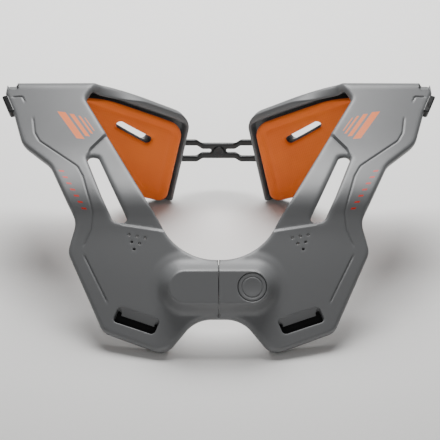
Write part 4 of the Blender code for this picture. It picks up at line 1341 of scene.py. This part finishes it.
def add_floor(sizes, colours):
    """Plain pale floor under the brace, of matt paper with a faint mottle of its fibres."""
    half = sizes.floor_size / 2
    corners = [(-half, -half, 0), (half, -half, 0), (half, half, 0), (-half, half, 0)]
    mesh = bpy.data.meshes.new("floor")
    mesh.from_pydata(corners, [], [(0, 1, 2, 3)])
    material, tree, shader = new_material("matt_paper", Roughness=0.9, Specular_IOR_Level=0.1)
    place = add_node(tree, "TexCoord", ())["Object"]
    fibre = add_node(tree, "TexNoise", {"Vector": place, "Scale": 1 / (4 * mm)})[0]
    sockets = {0: fibre, 6: shade(colours.floor), 7: shade(colours.floor, 0.97)}
    tree.links.new(add_node(tree, "Mix", sockets, **coloured)[2], shader.inputs["Base Color"])
    mesh.materials.append(material)
    floor = bpy.data.objects.new("floor", mesh)
    bpy.context.scene.collection.objects.link(floor)


def add_light(name, place, target, size, power):
    """Square soft light that faces a point."""
    light = bpy.data.lights.new(name, "AREA")
    light.size = size
    light.energy = power
    made = bpy.data.objects.new(name, light)
    made.location = place
    made.rotation_euler = Vector(target - place).to_track_quat("-Z", "Y").to_euler()
    bpy.context.scene.collection.objects.link(made)


def length(name, description, default, high=0.1):
    """Length property in metres, with its highest value."""
    return FloatProperty(
        name=name, description=description, default=default, min=0, max=high, unit="LENGTH", precision=5
    )


def number(name, description, default):
    """Property for a share or a power."""
    return FloatProperty(name=name, description=description, default=default)


def colour(name, description, hex_colour):
    """Colour property, given as an sRGB hex value and kept linear."""
    default = linear(hex_colour)
    return FloatVectorProperty(
        name=name, description=description, default=default, min=0, max=1, subtype="COLOR"
    )


class FrameSizes(bpy.types.PropertyGroup):
    """Sizes of the moulded frame's surface."""

    edge_round: length("Edge rounding", "Radius of the plate's outer edges", 2.9 * mm)
    seam_round: length("Seam rounding", "Radius of the face's edge along the seam", 0.5 * mm)
    rail_roll: length("Rail roll", "Width of the rolled side of the rail at the long hole", 3.6 * mm)
    rail_depth: length("Rail depth", "How far the rail lies below the plates above and below it", 1.8 * mm)
    step_above: length("Upper step", "Width of the step at the rail's upper end", 1.2 * mm)
    step_below: length("Lower step", "Width of the step at the rail's lower end", 2.6 * mm)
    groove_width: length("Groove width", "Half the width of the surface grooves", 0.9 * mm)
    groove_depth: length("Groove depth", "Depth of the surface grooves", 0.7 * mm)
    knee_line: length("Knee height", "Height of the steep band across the plate, worn", 0.097, high=0.2)
    knee_above: length("Knee above", "From the steep band up to its crest", 17 * mm)
    knee_below: length("Knee below", "From the steep band down to its hollow", 13 * mm)
    knee_slope: number("Knee slope", "Height of the crest over its reach", 0.35)
    knee_inside: number("Knee inside", "Share of the crest on the wearer's side", 0.8)
    hollow_inside: number("Hollow inside", "Share of the hollow below it on the wearer's side", 0.5)
    clasp_flank: length("Clasp flank", "Width of the clasp's sloping flanks", 7.8 * mm)
    clasp_round: length("Clasp rounding", "Rounding between the clasp's face and flanks", 2.2 * mm)
    rim_back: length("Rim back", "How much wider the rounding behind the wing's upper rim is", 1.8 * mm)
    rim_breadth: number("Rim breadth", "Breadth of the rim over its plain profile", 0.8)
    rim_broader: number("Rim broader", "Extra breadth of the upper rim", 1.2)
    slot_ramp: length("Slot ramp", "How far the chest slot's upper wall leans in", 5.2 * mm)
    pocket_lip: length("Pocket lip", "Rounding of the button's pocket", 0.6 * mm)
    button_bevel: length("Button bevel", "Rounding of the button's edge", 0.7 * mm)
    button_groove: length("Button groove", "Depth of the ring on the button", 0.45 * mm)
    button_dish: length("Button dish", "Depth of the hollow in the button's middle", 0.5 * mm)
    face_pitch: length("Face pitch", "Distance between the points of the outer face", 1.5 * mm)


class PadSizes(bpy.types.PropertyGroup):
    """Sizes of the pads."""

    pad_edge: length("Edge rounding", "Rounding of a pad's edge towards the wearer", 2.4 * mm)
    channel_place: length("Channel place", "From a back pad's edge to its pressed channel", 6.4 * mm)
    channel_reach: length("Channel reach", "Half the width of the pressed channel", 1.6 * mm)
    channel_depth: length("Channel depth", "Depth of the pressed channel", 0.7 * mm)
    crown: length("Crown", "How far a pad's middle stands proud", 0.8 * mm)
    slot_press: length("Slot press", "How far a pad is pressed in beside its slot", 0.9 * mm)


class Finishes(bpy.types.PropertyGroup):
    """Colours of the materials."""

    plastic: colour("Plastic", "Moulded frame", "#68696A")
    fabric: colour("Pad fabric", "Cover of the back pads", "#FF7A1C")
    foam: colour("Foam", "Pads behind the chest plates", "#1B1B1C")
    rubber: colour("Rubber", "Rear link and shoulder bumpers", "#0F1011")
    latch: colour("Latch", "Latch tongue and rivets", "#2A2B2C")
    orange_print: colour("Orange print", "Bars on the shoulders", "#EE7000")
    red_print: colour("Red print", "Ticks down the arms", "#CC2410")
    floor: colour("Floor", "Studio floor", "#F4F3F1")


class StageSizes(bpy.types.PropertyGroup):
    """Sizes of the studio."""

    floor_size: length("Floor size", "Side of the floor", 8.0, high=50)
    camera_distance: length("Camera distance", "From the brace to the camera", 10.0, high=50)
    pixel_size: length("Pixel size", "Size of one of the photograph's pixels at the brace", 0.691 * mm)
    frame_pixels: IntProperty(name="Frame pixels", description="Width of the picture", default=440, min=1)
    middle_across: length("Middle across", "Where the picture's middle lies beside the seam", 0.9 * mm)
    middle_up: length("Middle up", "Height of the picture's middle, worn", 0.0905, high=0.3)
    key_power: number("Key light", "Power of the soft light above, in watts", 14.0)
    fill_power: number("Fill light", "Power of the front light, in watts", 8.0)
    sky: number("Sky", "Strength of the light from all round", 0.07)


class NECKBRACE_OT_stage(bpy.types.Operator):
    """Adds the floor, the soft lights and the camera"""

    bl_idname = "neck_brace.stage"
    bl_label = "Stage"

    def execute(self, context):
        scene = context.scene
        sizes = scene.brace_stage
        add_floor(sizes, scene.brace_colours)
        up, forward = (at_rest(np.array((way,), float))[0] - rest_place for way in ((0, 0, 1), (0, 1, 0)))
        middle = at_rest(np.array(((sizes.middle_across, middle_depth, sizes.middle_up),)))[0]
        key_place = middle + up * key_above + forward * key_behind
        fill_place = middle - forward * fill_ahead - up * fill_below
        add_light("key", key_place, middle, key_size, sizes.key_power)
        add_light("fill", fill_place, middle, fill_size, sizes.fill_power)
        world = bpy.data.worlds.new("studio")
        world.use_nodes = True
        background = world.node_tree.nodes["Background"]
        background.inputs["Color"].default_value = (1, 1, 1, 1)
        background.inputs["Strength"].default_value = sizes.sky
        scene.world = world
        lens = bpy.data.cameras.new("camera")
        lens.lens = lens.sensor_width * sizes.camera_distance / (sizes.frame_pixels * sizes.pixel_size)
        lens.clip_end = 3 * sizes.camera_distance
        camera = bpy.data.objects.new("camera", lens)
        camera.location = middle - forward * sizes.camera_distance
        camera.rotation_euler = Vector(forward).to_track_quat("-Z", "Y").to_euler()
        scene.collection.objects.link(camera)
        scene.camera = camera
        return {"FINISHED"}


class NECKBRACE_OT_frame_halves(bpy.types.Operator):
    """Adds both moulded halves of the frame"""

    bl_idname = "neck_brace.frame_halves"
    bl_label = "Frame halves"

    def execute(self, context):
        scene = context.scene
        plastic = kept(moulded_plastic, scene.brace_colours)
        for side, end in sides:
            finished(frame_half(side, scene.brace_frame), plastic, "brace", f"frame_{end}")
        return {"FINISHED"}


class NECKBRACE_OT_release_button(bpy.types.Operator):
    """Adds the round release button"""

    bl_idname = "neck_brace.release_button"
    bl_label = "Release button"

    def execute(self, context):
        scene = context.scene
        plastic = kept(moulded_plastic, scene.brace_colours)
        finished(button_mesh(scene.brace_frame), plastic, "release_button", "release_button")
        return {"FINISHED"}


class NECKBRACE_OT_latch(bpy.types.Operator):
    """Gives the hidden latch tongue its finish and adds the rivets' heads"""

    bl_idname = "neck_brace.latch"
    bl_label = "Latch and rivets"

    def execute(self, context):
        nylon = kept(dark_nylon, context.scene.brace_colours)
        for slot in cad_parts["latch_tongue"].material_slots:
            slot.material = nylon
        for side, end in sides:
            finished(rivet_mesh(side), nylon, "brace", f"link_rivet_{end}")
        return {"FINISHED"}


class NECKBRACE_OT_rear_link(bpy.types.Operator):
    """Adds the flexible rear link"""

    bl_idname = "neck_brace.rear_link"
    bl_label = "Rear link"

    def execute(self, context):
        rubber = kept(black_rubber, context.scene.brace_colours)
        finished(rear_link_mesh(), rubber, "brace", "rear_link")
        return {"FINISHED"}


class NECKBRACE_OT_bumpers(bpy.types.Operator):
    """Adds the rubber strips on the shoulders' outer edges"""

    bl_idname = "neck_brace.bumpers"
    bl_label = "Shoulder bumpers"

    def execute(self, context):
        rubber = kept(black_rubber, context.scene.brace_colours)
        for side, end in sides:
            finished(bumper_mesh(side), rubber, "brace", f"shoulder_bumper_{end}")
        return {"FINISHED"}


class NECKBRACE_OT_pads(bpy.types.Operator):
    """Adds the covered back pads and the foam front pads"""

    bl_idname = "neck_brace.pads"
    bl_label = "Pads"

    def execute(self, context):
        scene = context.scene
        kinds = ((back_pad, pad_fabric, "pad", "back_pad"), (front_pad, black_foam, "liner", "front_pad"))
        for maker, finish, slot, node in kinds:
            material = kept(finish, scene.brace_colours)
            for side, end in sides:
                made = finished(maker(side, scene.brace_pads), material, "brace", f"{node}_{end}")
        return {"FINISHED"}


class NECKBRACE_PT_panel(bpy.types.Panel):
    """Lists the pieces and their sizes."""

    bl_idname = "NECKBRACE_PT_panel"
    bl_label = "Neck brace"
    bl_space_type = "VIEW_3D"
    bl_region_type = "UI"
    bl_category = "Neck brace"

    def draw(self, context):
        for operator in operators:
            self.layout.operator(operator.bl_idname)
        for name in groups:
            box = self.layout.box()
            values = getattr(context.scene, name)
            for key in values.__annotations__:
                box.prop(values, key)


operators = (
    NECKBRACE_OT_stage,
    NECKBRACE_OT_frame_halves,
    NECKBRACE_OT_release_button,
    NECKBRACE_OT_latch,
    NECKBRACE_OT_rear_link,
    NECKBRACE_OT_bumpers,
    NECKBRACE_OT_pads,
)
groups = {
    "brace_frame": FrameSizes,
    "brace_pads": PadSizes,
    "brace_colours": Finishes,
    "brace_stage": StageSizes,
}
kinds = (*groups.values(), *operators, NECKBRACE_PT_panel)


def register():
    """Registers the classes and hangs each group of sizes on the scene."""
    for kind in kinds:
        bpy.utils.register_class(kind)
    for name, group in groups.items():
        setattr(bpy.types.Scene, name, PointerProperty(type=group))


def unregister():
    """Takes the groups and classes away again, in the other order."""
    for name in groups:
        delattr(bpy.types.Scene, name)
    for kind in reversed(kinds):
        bpy.utils.unregister_class(kind)


def main():
    """Registers the add-on and makes every piece."""
    register()
    for operator in operators:
        module, name = operator.bl_idname.split(".")
        getattr(getattr(bpy.ops, module), name)()


if __name__ == "__main__":
    main()
